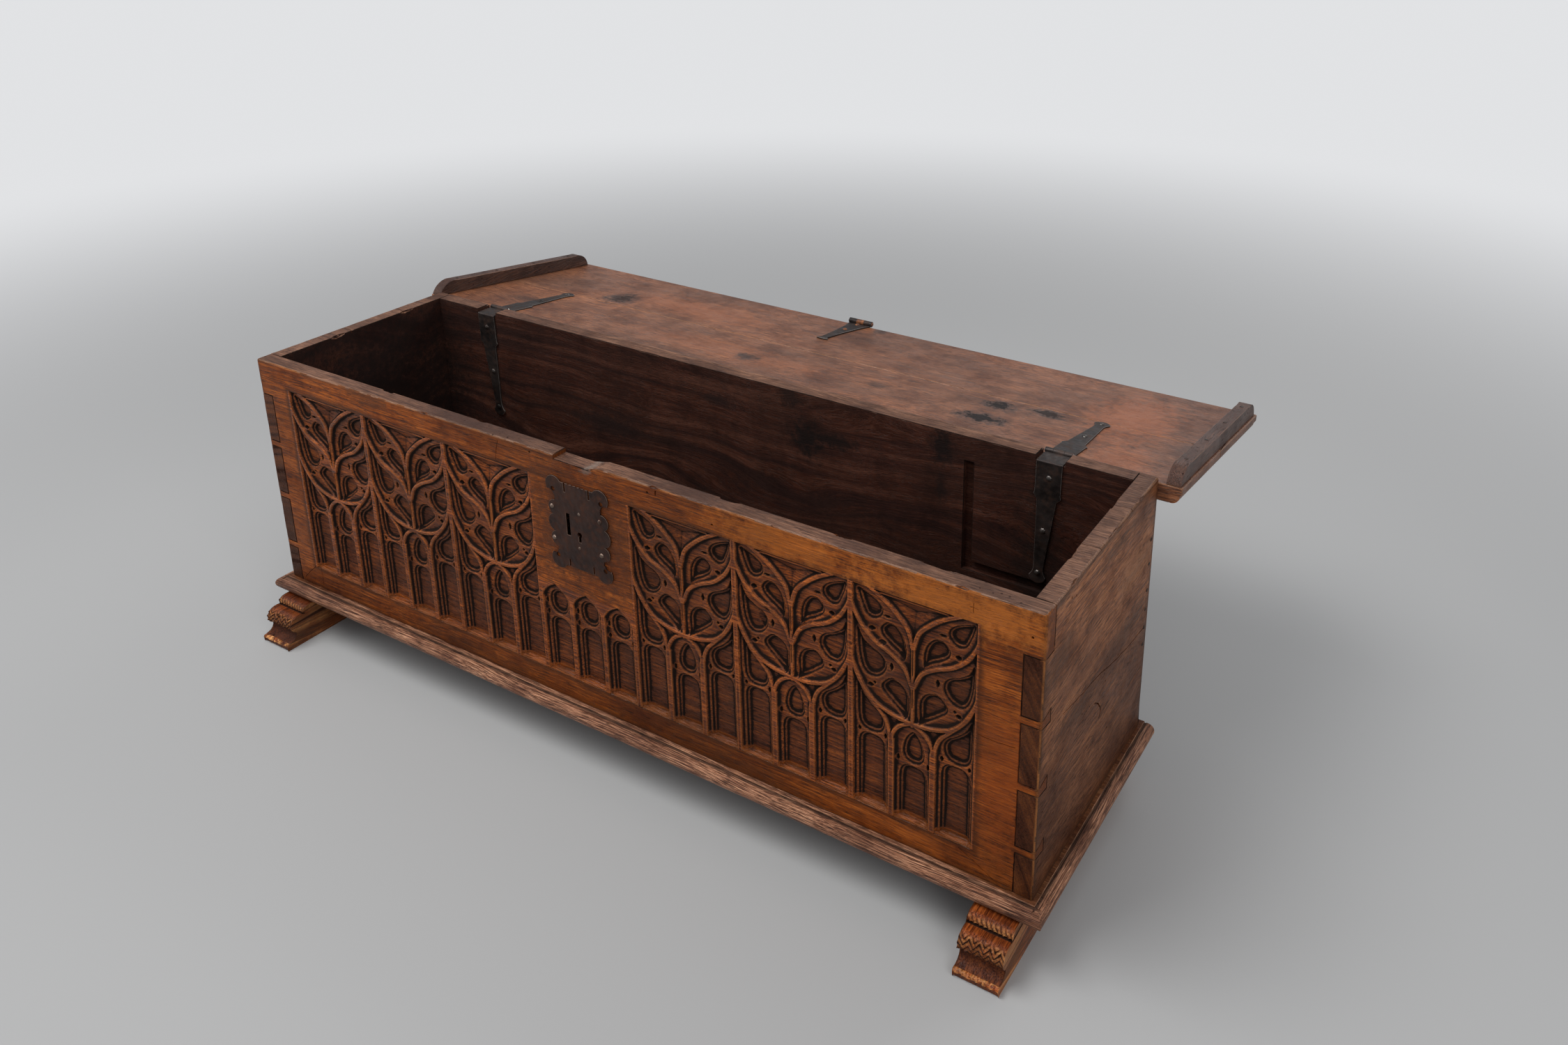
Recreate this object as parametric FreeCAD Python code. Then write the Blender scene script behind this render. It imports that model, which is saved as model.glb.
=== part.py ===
import FreeCAD, Part
import math
import os
from FreeCAD import Vector

# Coffer chest: a dovetailed box on a moulded bottom and two sledge runners, with a
# hinged plank lid that lies open behind the box, a swinging hasp and a hidden lock.
# Millimetres. +X to the right, +Y to the back, +Z up. Every piece is built with the lid
# shut and the middle of the box at x 0, y 0. The lid and the hasp are then turned to the
# open pose in which the chest is kept, and the whole moves so that the origin lies on
# the floor under the middle of the open chest.

# ---- the box
box_length = 1500.0
box_depth = 399.0
box_height = 435.0
front_thickness = 27.0
side_thickness = 28.5
back_thickness = 29.5
bottom_thickness = 24.0

# ---- dovetails of the front corners (heights from the bottom of the box)
dovetail_top = 370.0            # above this the front board runs over the side board
dovetail_pin_heights = (72.0, 172.0, 274.5)
dovetail_pin_at_face = 11.5     # width of a pin on the front of the chest
dovetail_pin_at_root = 20.0     # its width behind the front board

# ---- the bottom and its moulded edge
bottom_reach_front = 23.0
bottom_reach_side = 23.0
bottom_reach_back = 12.0
front_strip_width = 38.5
back_board_widths = (59.5, 83.0, 78.0)   # the last boards, counted from the back edge
corner_patch_length = 101.0
edge_bead = 6.0                 # flat band beside the wall
edge_quirk = 2.6                # width and depth of the groove beside the band

# ---- runners
runner_width = 66.5
runner_height = 68.5
runner_inset = 8.0              # from the end of the box to the runner's outer face
runner_toe = 77.0               # reach of the toe in front of the box
runner_back_inset = 3.0

# ---- lid
lid_thickness = 27.0
lid_reach_front = 22.5
lid_reach_side = 35.0
lid_joint = 198.0               # distance of the plank joint from the back edge
lid_gap = 0.3                   # under the shut lid
lid_tilt = 7.5                  # how far past level the open lid hangs
lid_stop_gap = 0.3
lid_edge_flat = 12.0            # upright part of the lid's moulded edge
lid_edge_step = 3.0
lid_edge_cove = 12.0
batten_clearance = 9.5          # between a batten and the end of the box
batten_thickness = 22.0
batten_height = 27.0
batten_back_curve = 38.0
batten_front_curve = 31.0
batten_front_inset = 10.0

# ---- lid hinges
hinge_inset = 159.0             # from the end of the box to the middle of a hinge
hinge_drop = 6.0                # axis below the rim
hinge_pin_r = 2.0
hinge_knuckle_r = 4.5
hinge_barrel = 45.0
hinge_notch_gap = 1.5           # beside the strap and the barrel, in the back board
hinge_centre_knuckle = 18.0
hinge_side_gap = 0.4
running_clearance = 0.05
strap_thickness = 2.8
strap_width = 42.0
strap_length = 214.0
strap_lean = 12.0               # how far the forged strap's foot leans inwards
strap_sink = 8.8                # depth of the notch that takes it over the rim
leaf_thickness = 2.5
leaf_length = 190.0

# ---- hasp
hasp_x = -27.5
hasp_axis_reach = 2.5           # axis in front of the lid's edge
hasp_knuckle_r = 5.5
hasp_pin_r = 2.5
hasp_barrel = 52.0
hasp_centre_knuckle = 17.0
hasp_strap_length = 146.0
hasp_thickness = 3.0
hasp_tail = 20.0                # below the staple
hasp_plate_gap = 2.6            # between the shut hasp and the lock plate
staple_bar = 5.0
staple_low = -10.5              # heights on the lock are from the middle of its plate
staple_high = 18.5
staple_reach = 14.5             # how far it reaches behind the face of the front board
notch_left_reach = 22.5         # from the middle of the hasp
notch_right_reach = 67.5
notch_slope = 30.0              # the run of its sloping right end
notch_depth = 7.0

# ---- lock
plate_x = -6.0
plate_drop = 113.0              # from the rim to the middle of the plate
plate_thickness = 2.2
slot_width = 7.4
slot_low = -15.5
slot_high = 22.0
keyhole_x = -5.5
keyhole_height = -9.0
keyhole_r = 4.5
keyhole_bit_width = 5.0
keyhole_bit_low = -22.0
recess_left = -47.0
recess_right = 33.0
recess_low = -42.0
recess_high = 42.0
recess_depth = 18.0
bolt_low = -2.0
bolt_high = 9.0
bolt_front = 3.0                # its front face behind the face of the front board
bolt_thickness = 5.0
bolt_length = 47.5
bolt_stand_off = 4.5            # from the staple, when the bolt is drawn back
bolt_throw = 18.0
bolt_clearance = 0.3
bolt_notch = (13.0, 4.0)        # the notch that the key's bit pushes, wide and high
guide_thickness = 1.5
guide_length = 6.0
spring_x = -4.0
spring_height = 27.0
spring_block = 5.0
spring_leaf = 1.2
spring_bend = 10.0
lower_rivet_x = -8.0
lower_rivet_height = -32.0
cap_thickness = 1.6
cap_clearance = 0.8             # behind the cap

# ---- till housings (the till boards are gone)
till_length = 273.5             # from the right wall to its own upright board
till_groove = 16.0
till_floor = 201.0
till_wall_top = 393.0
till_groove_depth = 8.0

# ---- nails
nail_shank = 3.0
nail_head_r = 5.0
nail_head_height = 2.6
small_head_r = 3.4
small_head_height = 1.2
plate_nail_r = 4.0
nail_sides = 8                  # facets that the hammer leaves round a head

# ---- worked out from the sizes above
half_length = box_length / 2
half_depth = box_depth / 2
floor_to_box = runner_height + bottom_thickness
rim = floor_to_box + box_height
lock_middle = rim - plate_drop
lid_end = half_length + lid_reach_side
batten_inner_face = half_length + batten_clearance
runner_outer_face = half_length - runner_inset
runner_inner_face = runner_outer_face - runner_width
hinge_x = half_length - hinge_inset
front_face = -half_depth
back_face = half_depth
front_inner = front_face + front_thickness
back_inner = back_face - back_thickness
side_inner = half_length - side_thickness
till_left = side_inner - till_length
bottom_front = front_face - bottom_reach_front
bottom_back = back_face + bottom_reach_back
bottom_joints = [bottom_front + front_strip_width] + [
    bottom_back - sum(back_board_widths[:count]) for count in (3, 2, 1)]
lid_under = rim + lid_gap
lid_top = lid_under + lid_thickness
hinge_z = rim - hinge_drop
hinge_arm = lid_top - hinge_z
hinge_y = back_face + lid_stop_gap + hinge_arm * math.sin(math.radians(lid_tilt))
lid_back = hinge_y
lid_front = front_face - lid_reach_front
hasp_y = lid_front - hasp_axis_reach
hasp_z = lid_under - hasp_knuckle_r - 0.2
slot_left = hasp_x - slot_width / 2
hasp_length = hasp_z - (lock_middle + staple_low) + hasp_tail
bolt_head = hasp_x + staple_bar / 2 + bolt_stand_off
bolt_tail = bolt_head + bolt_length
plate_front = front_face - plate_thickness
lid_axis = (Vector(0, hinge_y, hinge_z), Vector(1, 0, 0))
hasp_axis = (Vector(0, hasp_y, hasp_z), Vector(1, 0, 0))

parts = {}


# ---- small tools of the bench

def block(x0, x1, y0, y1, z0, z1):
    return Part.makeBox(x1 - x0, y1 - y0, z1 - z0, Vector(x0, y0, z0))


def rod_x(x0, x1, y, z, r):
    return Part.makeCylinder(r, x1 - x0, Vector(x0, y, z), Vector(1, 0, 0))


def disc_y(x, z, r, y0, y1):
    return Part.makeCylinder(r, y1 - y0, Vector(x, y0, z), Vector(0, 1, 0))


def outline(steps, place):
    """A face from a start point and steps: a point is a straight run to it, and a pair
    of points is an arc through the first to the second. place puts a flat point in space."""
    edges = []
    here = steps[0]
    for step in list(steps[1:]) + [steps[0]]:
        if isinstance(step[0], tuple):
            middle, end = step
            edges.append(Part.Arc(place(*here), place(*middle), place(*end)).toShape())
        else:
            end = step
            if math.dist(here, end) < 1e-6:
                continue
            edges.append(Part.LineSegment(place(*here), place(*end)).toShape())
        here = end
    return Part.Face(Part.Wire(edges))


def prism_x(steps, x0, x1):
    return outline(steps, lambda y, z: Vector(x0, y, z)).extrude(Vector(x1 - x0, 0, 0))


def prism_y(steps, y0, y1):
    return outline(steps, lambda x, z: Vector(x, y0, z)).extrude(Vector(0, y1 - y0, 0))


def prism_z(steps, z0, z1):
    return outline(steps, lambda x, y: Vector(x, y, z0)).extrude(Vector(0, 0, z1 - z0))


def mirrored(shape):
    return shape.mirror(Vector(0, 0, 0), Vector(1, 0, 0))


def joined(shapes):
    whole = shapes[0].fuse(shapes[1:]) if len(shapes) > 1 else shapes[0]
    return whole.removeSplitter()


def nail(point, out, length, head_r=nail_head_r, head_height=nail_head_height):
    """A forged nail: a hammered head on the surface at point, out is the way it looks."""
    rings = []
    for radius, height in ((head_r, 0), (0.75 * head_r, 0.6 * head_height),
                           (0.3 * head_r, head_height)):
        turns = [2 * math.pi * (k + 0.5) / nail_sides for k in range(nail_sides + 1)]
        rings.append(Part.makePolygon([Vector(radius * math.cos(t), radius * math.sin(t), height)
                                       for t in turns]))
    shank = Part.makeBox(nail_shank, nail_shank, length,
                         Vector(-nail_shank / 2, -nail_shank / 2, -length))
    solid = joined([Part.makeLoft(rings, True, True), shank])
    solid.Placement = FreeCAD.Placement(Vector(*point),
                                        FreeCAD.Rotation(Vector(0, 0, 1), Vector(*out)))
    return solid


def evenly(low, high, count):
    """Middles of count equal stretches between low and high."""
    return [low + (high - low) * (k + 0.5) / count for k in range(count)]


def drill(shape, nails):
    for one in nails:
        shape = shape.cut(one)
    return shape


# ---- nails, set out before the pieces that they pass through

strap_nail_drops = (33.0, 124.0, 199.0)


def strap_centre(side, drop):
    lean = strap_lean * max(0.0, drop - 40.0) / (strap_length - 40.0)
    return side * (hinge_x - lean)


strap_nails = [nail((strap_centre(side, drop), back_inner - strap_thickness, rim - drop),
                    (0, -1, 0), 18.0)
               for side in (-1, 1) for drop in strap_nail_drops]
leaf_nails = [nail((side * hinge_x, hinge_y - run, lid_under - leaf_thickness),
                   (0, 0, -1), 18.0)
              for side in (-1, 1) for run in (106.0, 180.0)]
hasp_strap_nails = [nail((hasp_x, lid_front + run, lid_under - hasp_thickness),
                         (0, 0, -1), 17.0)
                    for run in (11.0, 58.0)]
plate_nail_spots = ((-58.0, 26.0), (37.0, 26.0), (-58.5, -28.0), (36.0, -31.0))
plate_nails = [nail((x, plate_front, lock_middle + up), (0, -1, 0), 15.0, plate_nail_r)
               for x, up in plate_nail_spots]
batten_nails = [nail((side * (batten_inner_face + batten_thickness / 2), y,
                      lid_under - batten_height),
                     (0, 0, -1), 46.0, small_head_r, small_head_height)
                for side in (-1, 1) for y in evenly(lid_front + batten_front_inset, lid_back, 4)]
corner_nail_drops = (97.0, 138.0, 183.0, 216.0, 248.0, 278.0)   # below the rim
corner_nails = [nail((side * half_length, back_face - back_thickness / 2, rim - drop),
                     (side, 0, 0), 48.0, small_head_r, small_head_height)
                for side in (-1, 1) for drop in corner_nail_drops]

# under the walls the heads are let in flush, so that the runners lie flat over them
wall_nail_spots = [(x, y) for y in (front_face + front_thickness / 2,
                                    back_face - back_thickness / 2)
                   for x in evenly(-runner_inner_face, runner_inner_face, 5)]
wall_nail_spots += [(side * (half_length - side_thickness / 4), y)
                    for side in (-1, 1) for y in evenly(front_inner, back_inner, 2)]
wall_nails = [nail((x, y, runner_height + small_head_height), (0, 0, -1), 55.0,
                   small_head_r, small_head_height)
              for x, y in wall_nail_spots]
runner_nails = [nail((side * (runner_inner_face + runner_width * 0.3), (y0 + y1) / 2,
                      floor_to_box), (0, 0, 1), 62.0)
                for side in (-1, 1) for y0, y1 in zip(bottom_joints[:-1], bottom_joints[1:])]


# ---- the four walls

def till_grooves(wall_face, into):
    """The upright and the level housing of the till, cut into a long wall."""
    y0, y1 = sorted((wall_face, wall_face + into * till_groove_depth))
    upright = block(till_left, till_left + till_groove, y0, y1,
                    floor_to_box + till_floor, floor_to_box + till_wall_top)
    level = block(till_left, side_inner, y0, y1,
                  floor_to_box + till_floor, floor_to_box + till_floor + till_groove)
    return upright.fuse(level)


def pin_wedge(side, height):
    """One dovetail pin, narrow on the front of the chest and wide behind the front board."""
    z = floor_to_box + height
    face, root = dovetail_pin_at_face / 2, dovetail_pin_at_root / 2
    steps = [(front_face, z - face), (front_face, z + face),
             (front_inner, z + root), (front_inner, z - root)]
    x0, x1 = sorted((side * side_inner, side * half_length))
    return prism_x(steps, x0, x1)


def tail_space(side):
    """What the side board's tails fill at one end of the front board."""
    x0, x1 = sorted((side * side_inner, side * half_length))
    space = block(x0, x1, front_face, front_inner, floor_to_box, floor_to_box + dovetail_top)
    for height in dovetail_pin_heights:
        space = space.cut(pin_wedge(side, height))
    return space


def make_walls():
    front = block(-half_length, half_length, front_face, front_inner, floor_to_box, rim)
    back = block(-side_inner, side_inner, back_inner, back_face, floor_to_box, rim)
    for side, name in ((-1, "left_side_board"), (1, "right_side_board")):
        x0, x1 = sorted((side * side_inner, side * half_length))
        tails = tail_space(side)
        board = block(x0, x1, front_inner, back_face, floor_to_box, rim).fuse(tails)
        if side > 0:
            board = board.cut(block(x0, x0 + till_groove_depth, front_inner, back_inner,
                                    floor_to_box + till_floor,
                                    floor_to_box + till_floor + till_groove))
        parts[name] = drill(board.removeSplitter(), corner_nails + wall_nails)
        front = front.cut(tails)

    notch_left, notch_right = hasp_x - notch_left_reach, hasp_x + notch_right_reach
    notch = prism_y([(notch_left, rim - notch_depth), (notch_right - notch_slope, rim - notch_depth),
                     (notch_right, rim), (notch_right, rim + 1), (notch_left, rim + 1)],
                    front_face - 1, front_inner + 1)
    recess = block(recess_left, recess_right, front_face - 1, front_face + recess_depth,
                   lock_middle + recess_low, lock_middle + recess_high)
    front = front.cut([notch, recess, till_grooves(front_inner, -1)])
    parts["front_board"] = drill(front, plate_nails + wall_nails)

    notch_half = max(hinge_barrel, strap_width) / 2 + hinge_notch_gap
    for side in (-1, 1):
        back = back.cut(block(side * hinge_x - notch_half, side * hinge_x + notch_half,
                              back_inner - 1, back_face + 1, rim - strap_sink, rim + 1))
    back = back.cut(till_grooves(back_inner, 1))
    parts["back_board"] = drill(back, strap_nails + corner_nails + wall_nails)


# ---- the bottom: boards laid lengthwise, their outer edges moulded as one

def bottom_waste(reach):
    """Section of what is cut off a square edge, from the wall (0) out to reach."""
    top, low = floor_to_box, runner_height
    roll_top = top - 1.5
    roll = (roll_top - low) / 2
    roll_start = reach - roll
    quirk_end = edge_bead + edge_quirk
    half = math.sqrt(0.5) * roll
    return [(edge_bead, top + 1), (edge_bead, top - edge_quirk),
            (quirk_end, top - edge_quirk), (quirk_end, roll_top), (roll_start, roll_top),
            ((roll_start + half, low + roll + half), (reach, low + roll)),
            ((roll_start + half, low + roll - half), (roll_start, low)),
            (roll_start, low - 1), (reach + 1, low - 1), (reach + 1, top + 1)]


def placed_steps(steps, put):
    """The same outline with every point moved by put."""
    placed = []
    for step in steps:
        if isinstance(step[0], tuple):
            placed.append((put(*step[0]), put(*step[1])))
        else:
            placed.append(put(*step))
    return placed


def make_bottom():
    ends = half_length + bottom_reach_side
    waste_front = prism_x(placed_steps(bottom_waste(bottom_reach_front),
                                       lambda p, z: (front_face - p, z)), -ends - 2, ends + 2)
    waste_right = prism_y(placed_steps(bottom_waste(bottom_reach_side),
                                       lambda p, z: (half_length + p, z)),
                          bottom_front - 2, bottom_back + 2)
    walls = [waste_front, waste_right, mirrored(waste_right)]
    joints = [bottom_front] + bottom_joints + [bottom_back]
    through = wall_nails + runner_nails
    patch_end = -ends + corner_patch_length
    for number, (y0, y1) in enumerate(zip(joints[:-1], joints[1:]), start=1):
        start = patch_end if number == 1 else -ends
        board = block(start, ends, y0, y1, runner_height, floor_to_box).cut(walls)
        parts["bottom_board_%d" % number] = drill(board, through)
    patch = block(-ends, patch_end, joints[0], joints[1], runner_height, floor_to_box)
    parts["bottom_corner_patch"] = drill(patch.cut(walls), through)


# ---- runners with a moulded toe

def make_runners():
    low = 0.0
    top = runner_height
    toe = runner_toe
    back = back_face - runner_back_inset

    def at(p, z):
        return (front_face - p, z)

    steps = [(back, low), (back, top), at(toe - 55, top),
             (at(toe - 42, top - 4), at(toe - 39, top - 9)), at(toe - 36, top - 9),
             (at(toe - 17, top - 17), at(toe - 13.5, top - 35)), at(toe - 18, top - 37.5),
             at(toe - 18, top - 41), (at(toe - 15, top - 53), at(toe - 6, top - 59)),
             at(toe, top - 64), at(toe, low + 2), at(toe - 2, low)]
    right = prism_x(steps, runner_inner_face, runner_outer_face)
    for side, name in ((-1, "left_runner"), (1, "right_runner")):
        runner = mirrored(right) if side < 0 else right
        parts[name] = drill(runner, runner_nails)


# ---- the lid, built shut

def lid_waste():
    """Section of what is cut off the lid's upper edge: p is the distance in from the edge."""
    flat = lid_under + lid_edge_flat
    step = flat + 2.0
    cove = lid_edge_cove
    turn = cove * (1 - math.sqrt(0.5))
    return [(-1, flat), (lid_edge_step, flat), (lid_edge_step, step),
            ((lid_edge_step + turn, step + cove - turn), (lid_edge_step + cove, step + cove)),
            (lid_edge_step + cove + 2.5, step + cove), (lid_edge_step + cove + 2.5, lid_top + 1),
            (-1, lid_top + 1)]


def make_lid():
    front_cut = prism_x(placed_steps(lid_waste(), lambda p, z: (lid_front + p, z)),
                        -lid_end - 1, lid_end + 1)
    end_cut = prism_y(placed_steps(lid_waste(), lambda p, z: (lid_end - p, z)),
                      lid_front - 1, lid_back + 1)
    joint_y = lid_back - lid_joint
    for name, y0, y1 in (("lid_back_plank", joint_y, lid_back),
                         ("lid_front_plank", lid_front, joint_y)):
        plank = block(-lid_end, lid_end, y0, y1, lid_under, lid_top)
        plank = plank.cut([front_cut, end_cut, mirrored(end_cut)])
        parts[name] = drill(plank, leaf_nails + hasp_strap_nails + batten_nails)

    low = lid_under - batten_height
    y0 = lid_front + batten_front_inset
    y1 = lid_back

    def swell(run):
        """A point on the rounding of a batten's end, partway along its curve."""
        radius = (run ** 2 + batten_height ** 2) / (2 * batten_height)
        turn = math.asin(run / radius) / 2
        return run - radius * math.sin(turn), low + radius * (1 - math.cos(turn))

    back_mid, front_mid = swell(batten_back_curve), swell(batten_front_curve)
    steps = [(y0, lid_under), (y1, lid_under),
             ((y1 - back_mid[0], back_mid[1]), (y1 - batten_back_curve, low)),
             (y0 + batten_front_curve, low),
             ((y0 + front_mid[0], front_mid[1]), (y0, lid_under))]
    right = prism_x(steps, batten_inner_face, batten_inner_face + batten_thickness)
    parts["right_lid_batten"] = drill(right, batten_nails)
    parts["left_lid_batten"] = drill(mirrored(right), batten_nails)


# ---- lid hinges: a cranked strap in the box and a leaf under the lid

def tapered_plate(length, shoulder, wide, waist, foot, tail):
    """Outline of a forged plate, width against run: square shoulders, a taper and a fishtail.
    Only its right edge; the left is its mirror."""
    return [(wide / 2, 0), (wide / 2, shoulder - 6), (wide / 2 + 1.5, shoulder),
            (waist / 2 + 2, shoulder + 7), (foot / 2, length - 26),
            ((foot / 2 + 1.5, length - 16), (tail / 2, length - 8))]


def plate_steps(right_edge, length, put):
    left_edge = []
    previous = None
    for step in right_edge:
        end = step[1] if isinstance(step[0], tuple) else step
        left_edge.append((previous, step))
        previous = end
    steps = list(right_edge) + [((0, length + 3), (-previous[0], previous[1]))]
    for before, step in reversed(left_edge[1:]):
        flipped = (-before[0], before[1])
        if isinstance(step[0], tuple):
            steps.append(((-step[0][0], step[0][1]), flipped))
        else:
            steps.append(flipped)
    return placed_steps(steps, put)


def knuckle(centre, width, y, z, outer, bore):
    x0, x1 = centre - width / 2, centre + width / 2
    return rod_x(x0, x1, y, z, outer).cut(rod_x(x0 - 1, x1 + 1, y, z, bore))


def make_hinge(side, word):
    centre = side * hinge_x
    side_knuckle = (hinge_barrel - hinge_centre_knuckle) / 2 - hinge_side_gap
    side_offset = (hinge_barrel - side_knuckle) / 2
    clear = hinge_knuckle_r + hinge_side_gap

    # the strap: down the inside of the back board, over the rim, to the middle knuckle
    strap_level = rim - strap_sink
    lean_at = strap_lean / (strap_length - 40.0)
    edge = tapered_plate(strap_length, 64.0, strap_width, 28.0, 16.0, 28.0)
    down = prism_y(plate_steps(edge, strap_length, lambda x, run: (
        centre + x - side * lean_at * max(0.0, run - 40.0), rim - run)),
        back_inner - strap_thickness, back_inner)
    over = block(centre - strap_width / 2, centre + strap_width / 2,
                 back_inner - strap_thickness, back_face - 0.5,
                 strap_level, strap_level + strap_thickness)
    above = block(centre - 40, centre + 40, back_inner - 10, back_face,
                  strap_level + strap_thickness, rim + 10)
    tab = block(centre - hinge_centre_knuckle / 2, centre + hinge_centre_knuckle / 2,
                back_face - 2, hinge_y, strap_level, strap_level + strap_thickness)
    bore = rod_x(centre - 40, centre + 40, hinge_y, hinge_z, hinge_pin_r + running_clearance)
    middle = rod_x(centre - hinge_centre_knuckle / 2, centre + hinge_centre_knuckle / 2,
                   hinge_y, hinge_z, hinge_knuckle_r)
    strap = joined([down.cut(above), over, tab, middle])
    bend = [e for e in strap.Edges
            if abs(e.BoundBox.YMin - back_inner + strap_thickness) < 1e-4
            and abs(e.BoundBox.YMax - back_inner + strap_thickness) < 1e-4
            and abs(e.BoundBox.ZMin - strap_level - strap_thickness) < 1e-4
            and e.BoundBox.XLength > strap_width / 2]
    strap = strap.makeFillet(strap_thickness * 0.9, bend)
    parts[word + "_hinge_strap"] = drill(strap.cut(bore), strap_nails)

    # the leaf: under the lid, with the two outer knuckles
    edge = tapered_plate(leaf_length, 62.0, strap_width - 2, 26.0, 17.0, 28.0)
    leaf = prism_z(plate_steps(edge, leaf_length, lambda x, run: (centre + x, hinge_y - run)),
                   lid_under - leaf_thickness, lid_under)
    rolls = [rod_x(centre + way * side_offset - side_knuckle / 2,
                   centre + way * side_offset + side_knuckle / 2,
                   hinge_y, hinge_z, hinge_knuckle_r) for way in (-1, 1)]
    webs = [block(centre + way * side_offset - side_knuckle / 2,
                  centre + way * side_offset + side_knuckle / 2,
                  hinge_y - hinge_knuckle_r, hinge_y, hinge_z, lid_under) for way in (-1, 1)]
    leaf = joined([leaf] + rolls + webs)
    leaf = leaf.cut(rod_x(centre - hinge_centre_knuckle / 2 - hinge_side_gap,
                          centre + hinge_centre_knuckle / 2 + hinge_side_gap,
                          hinge_y, hinge_z, clear))
    leaf = leaf.cut(rod_x(centre - 40, centre + 40, hinge_y, hinge_z, hinge_pin_r))
    parts[word + "_lid_leaf"] = drill(leaf, leaf_nails)

    # the pin, riveted over at both ends
    half = hinge_barrel / 2
    pin = rod_x(centre - half, centre + half, hinge_y, hinge_z, hinge_pin_r)
    heads = [Part.makeCone(hinge_knuckle_r - 0.9, hinge_pin_r, 1.6,
                           Vector(centre + way * half, hinge_y, hinge_z), Vector(way, 0, 0))
             for way in (-1, 1)]
    parts[word + "_hinge_pin"] = joined([pin] + heads)


# ---- the hasp and its strap

def make_hasp():
    side_knuckle = (hasp_barrel - hasp_centre_knuckle) / 2 - hinge_side_gap
    side_offset = (hasp_barrel - side_knuckle) / 2
    clear = hasp_knuckle_r + hinge_side_gap

    # strap under the lid, wedge shaped, with the two outer knuckles
    length = hasp_strap_length
    edge = [(hasp_barrel / 2 - 0.5, 0), (17.0, 34), (10.0, 90), (7.0, length - 14),
            ((8.0, length - 8), (13.0, length - 3))]
    strap = prism_z(plate_steps(edge, length - 4, lambda x, run: (hasp_x + x, hasp_y + run)),
                    lid_under - hasp_thickness, lid_under)
    rolls = [rod_x(hasp_x + way * side_offset - side_knuckle / 2,
                   hasp_x + way * side_offset + side_knuckle / 2,
                   hasp_y, hasp_z, hasp_knuckle_r) for way in (-1, 1)]
    strap = joined([strap] + rolls)
    strap = strap.cut(rod_x(hasp_x - hasp_centre_knuckle / 2 - hinge_side_gap,
                            hasp_x + hasp_centre_knuckle / 2 + hinge_side_gap,
                            hasp_y, hasp_z, clear))
    strap = strap.cut(rod_x(hasp_x - 40, hasp_x + 40, hasp_y, hasp_z, hasp_pin_r))
    parts["hasp_strap"] = drill(strap, hasp_strap_nails)

    half = hasp_barrel / 2
    pin = rod_x(hasp_x - half, hasp_x + half, hasp_y, hasp_z, hasp_pin_r)
    heads = [Part.makeCone(hasp_knuckle_r - 1.2, hasp_pin_r, 2.0,
                           Vector(hasp_x + way * half, hasp_y, hasp_z), Vector(way, 0, 0))
             for way in (-1, 1)]
    parts["hasp_pin"] = joined([pin] + heads)

    # the hasp: a cranked plate, seen from the side, then trimmed to its front outline
    inner = plate_front - hasp_plate_gap
    outer = inner - hasp_thickness
    crank_top = hasp_z - hasp_knuckle_r - 1.0
    crank_low = crank_top - 15.0
    foot = hasp_z - hasp_length
    lip = 9.0
    root = hasp_y + hasp_knuckle_r
    side_view = [(root - hasp_thickness, hasp_z), (root - hasp_thickness, crank_top),
                 (outer, crank_low), (outer, foot + lip), (outer - 6.0, foot),
                 (outer - 3.5, foot - 2.0), (inner, foot + lip - 1.0), (inner, crank_low + 1.0),
                 (root, crank_top + 1.0), (root, hasp_z)]
    plate = prism_x(side_view, hasp_x - 20, hasp_x + 20)
    lobe = hasp_length - 26.0
    edge = [(hasp_centre_knuckle / 2, 0), (hasp_centre_knuckle / 2, 10), (14.0, 19),
            (14.0, 60), ((15.5, 66), (11.0, 72)), (11.0, lobe - 8), ((16.0, lobe), (10.0, lobe + 10)),
            (6.0, hasp_length - 2)]
    front_view = prism_y(plate_steps(edge, hasp_length,
                                     lambda x, run: (hasp_x + x, hasp_z - run)),
                         hasp_y - 20, front_face)
    plate = plate.common(front_view)
    middle = rod_x(hasp_x - hasp_centre_knuckle / 2, hasp_x + hasp_centre_knuckle / 2,
                   hasp_y, hasp_z, hasp_knuckle_r)
    keep_off = [rod_x(hasp_x + way * side_offset - side_knuckle / 2 - hinge_side_gap,
                      hasp_x + way * side_offset + side_knuckle / 2 + hinge_side_gap,
                      hasp_y, hasp_z, clear) for way in (-1, 1)]
    hasp = joined([plate.cut(keep_off), middle])
    hasp = hasp.cut(rod_x(hasp_x - 40, hasp_x + 40, hasp_y, hasp_z,
                          hasp_pin_r + running_clearance))

    # the staple, riveted through the hasp
    low, high = lock_middle + staple_low, lock_middle + staple_high
    tip = front_face + staple_reach
    half_bar = staple_bar / 2
    bow = block(hasp_x - half_bar, hasp_x + half_bar, inner, tip, low, high)
    bow = bow.cut(block(hasp_x - half_bar - 1, hasp_x + half_bar + 1, inner - 1,
                        tip - staple_bar, low + staple_bar, high - staple_bar))
    shanks = [block(hasp_x - 1.5, hasp_x + 1.5, outer, inner, z - 1.5, z + 1.5)
              for z in (low + half_bar, high - half_bar)]
    rivets = [Part.makeCone(3.0, 1.6, 1.2, Vector(hasp_x, outer, z), Vector(0, -1, 0))
              for z in (low + half_bar, high - half_bar)]
    staple = joined([bow] + shanks + rivets)
    parts["hasp"] = hasp.cut(shanks)
    parts["hasp_staple"] = staple


# ---- the lock: plate on the face, works behind it in the recess

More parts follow.
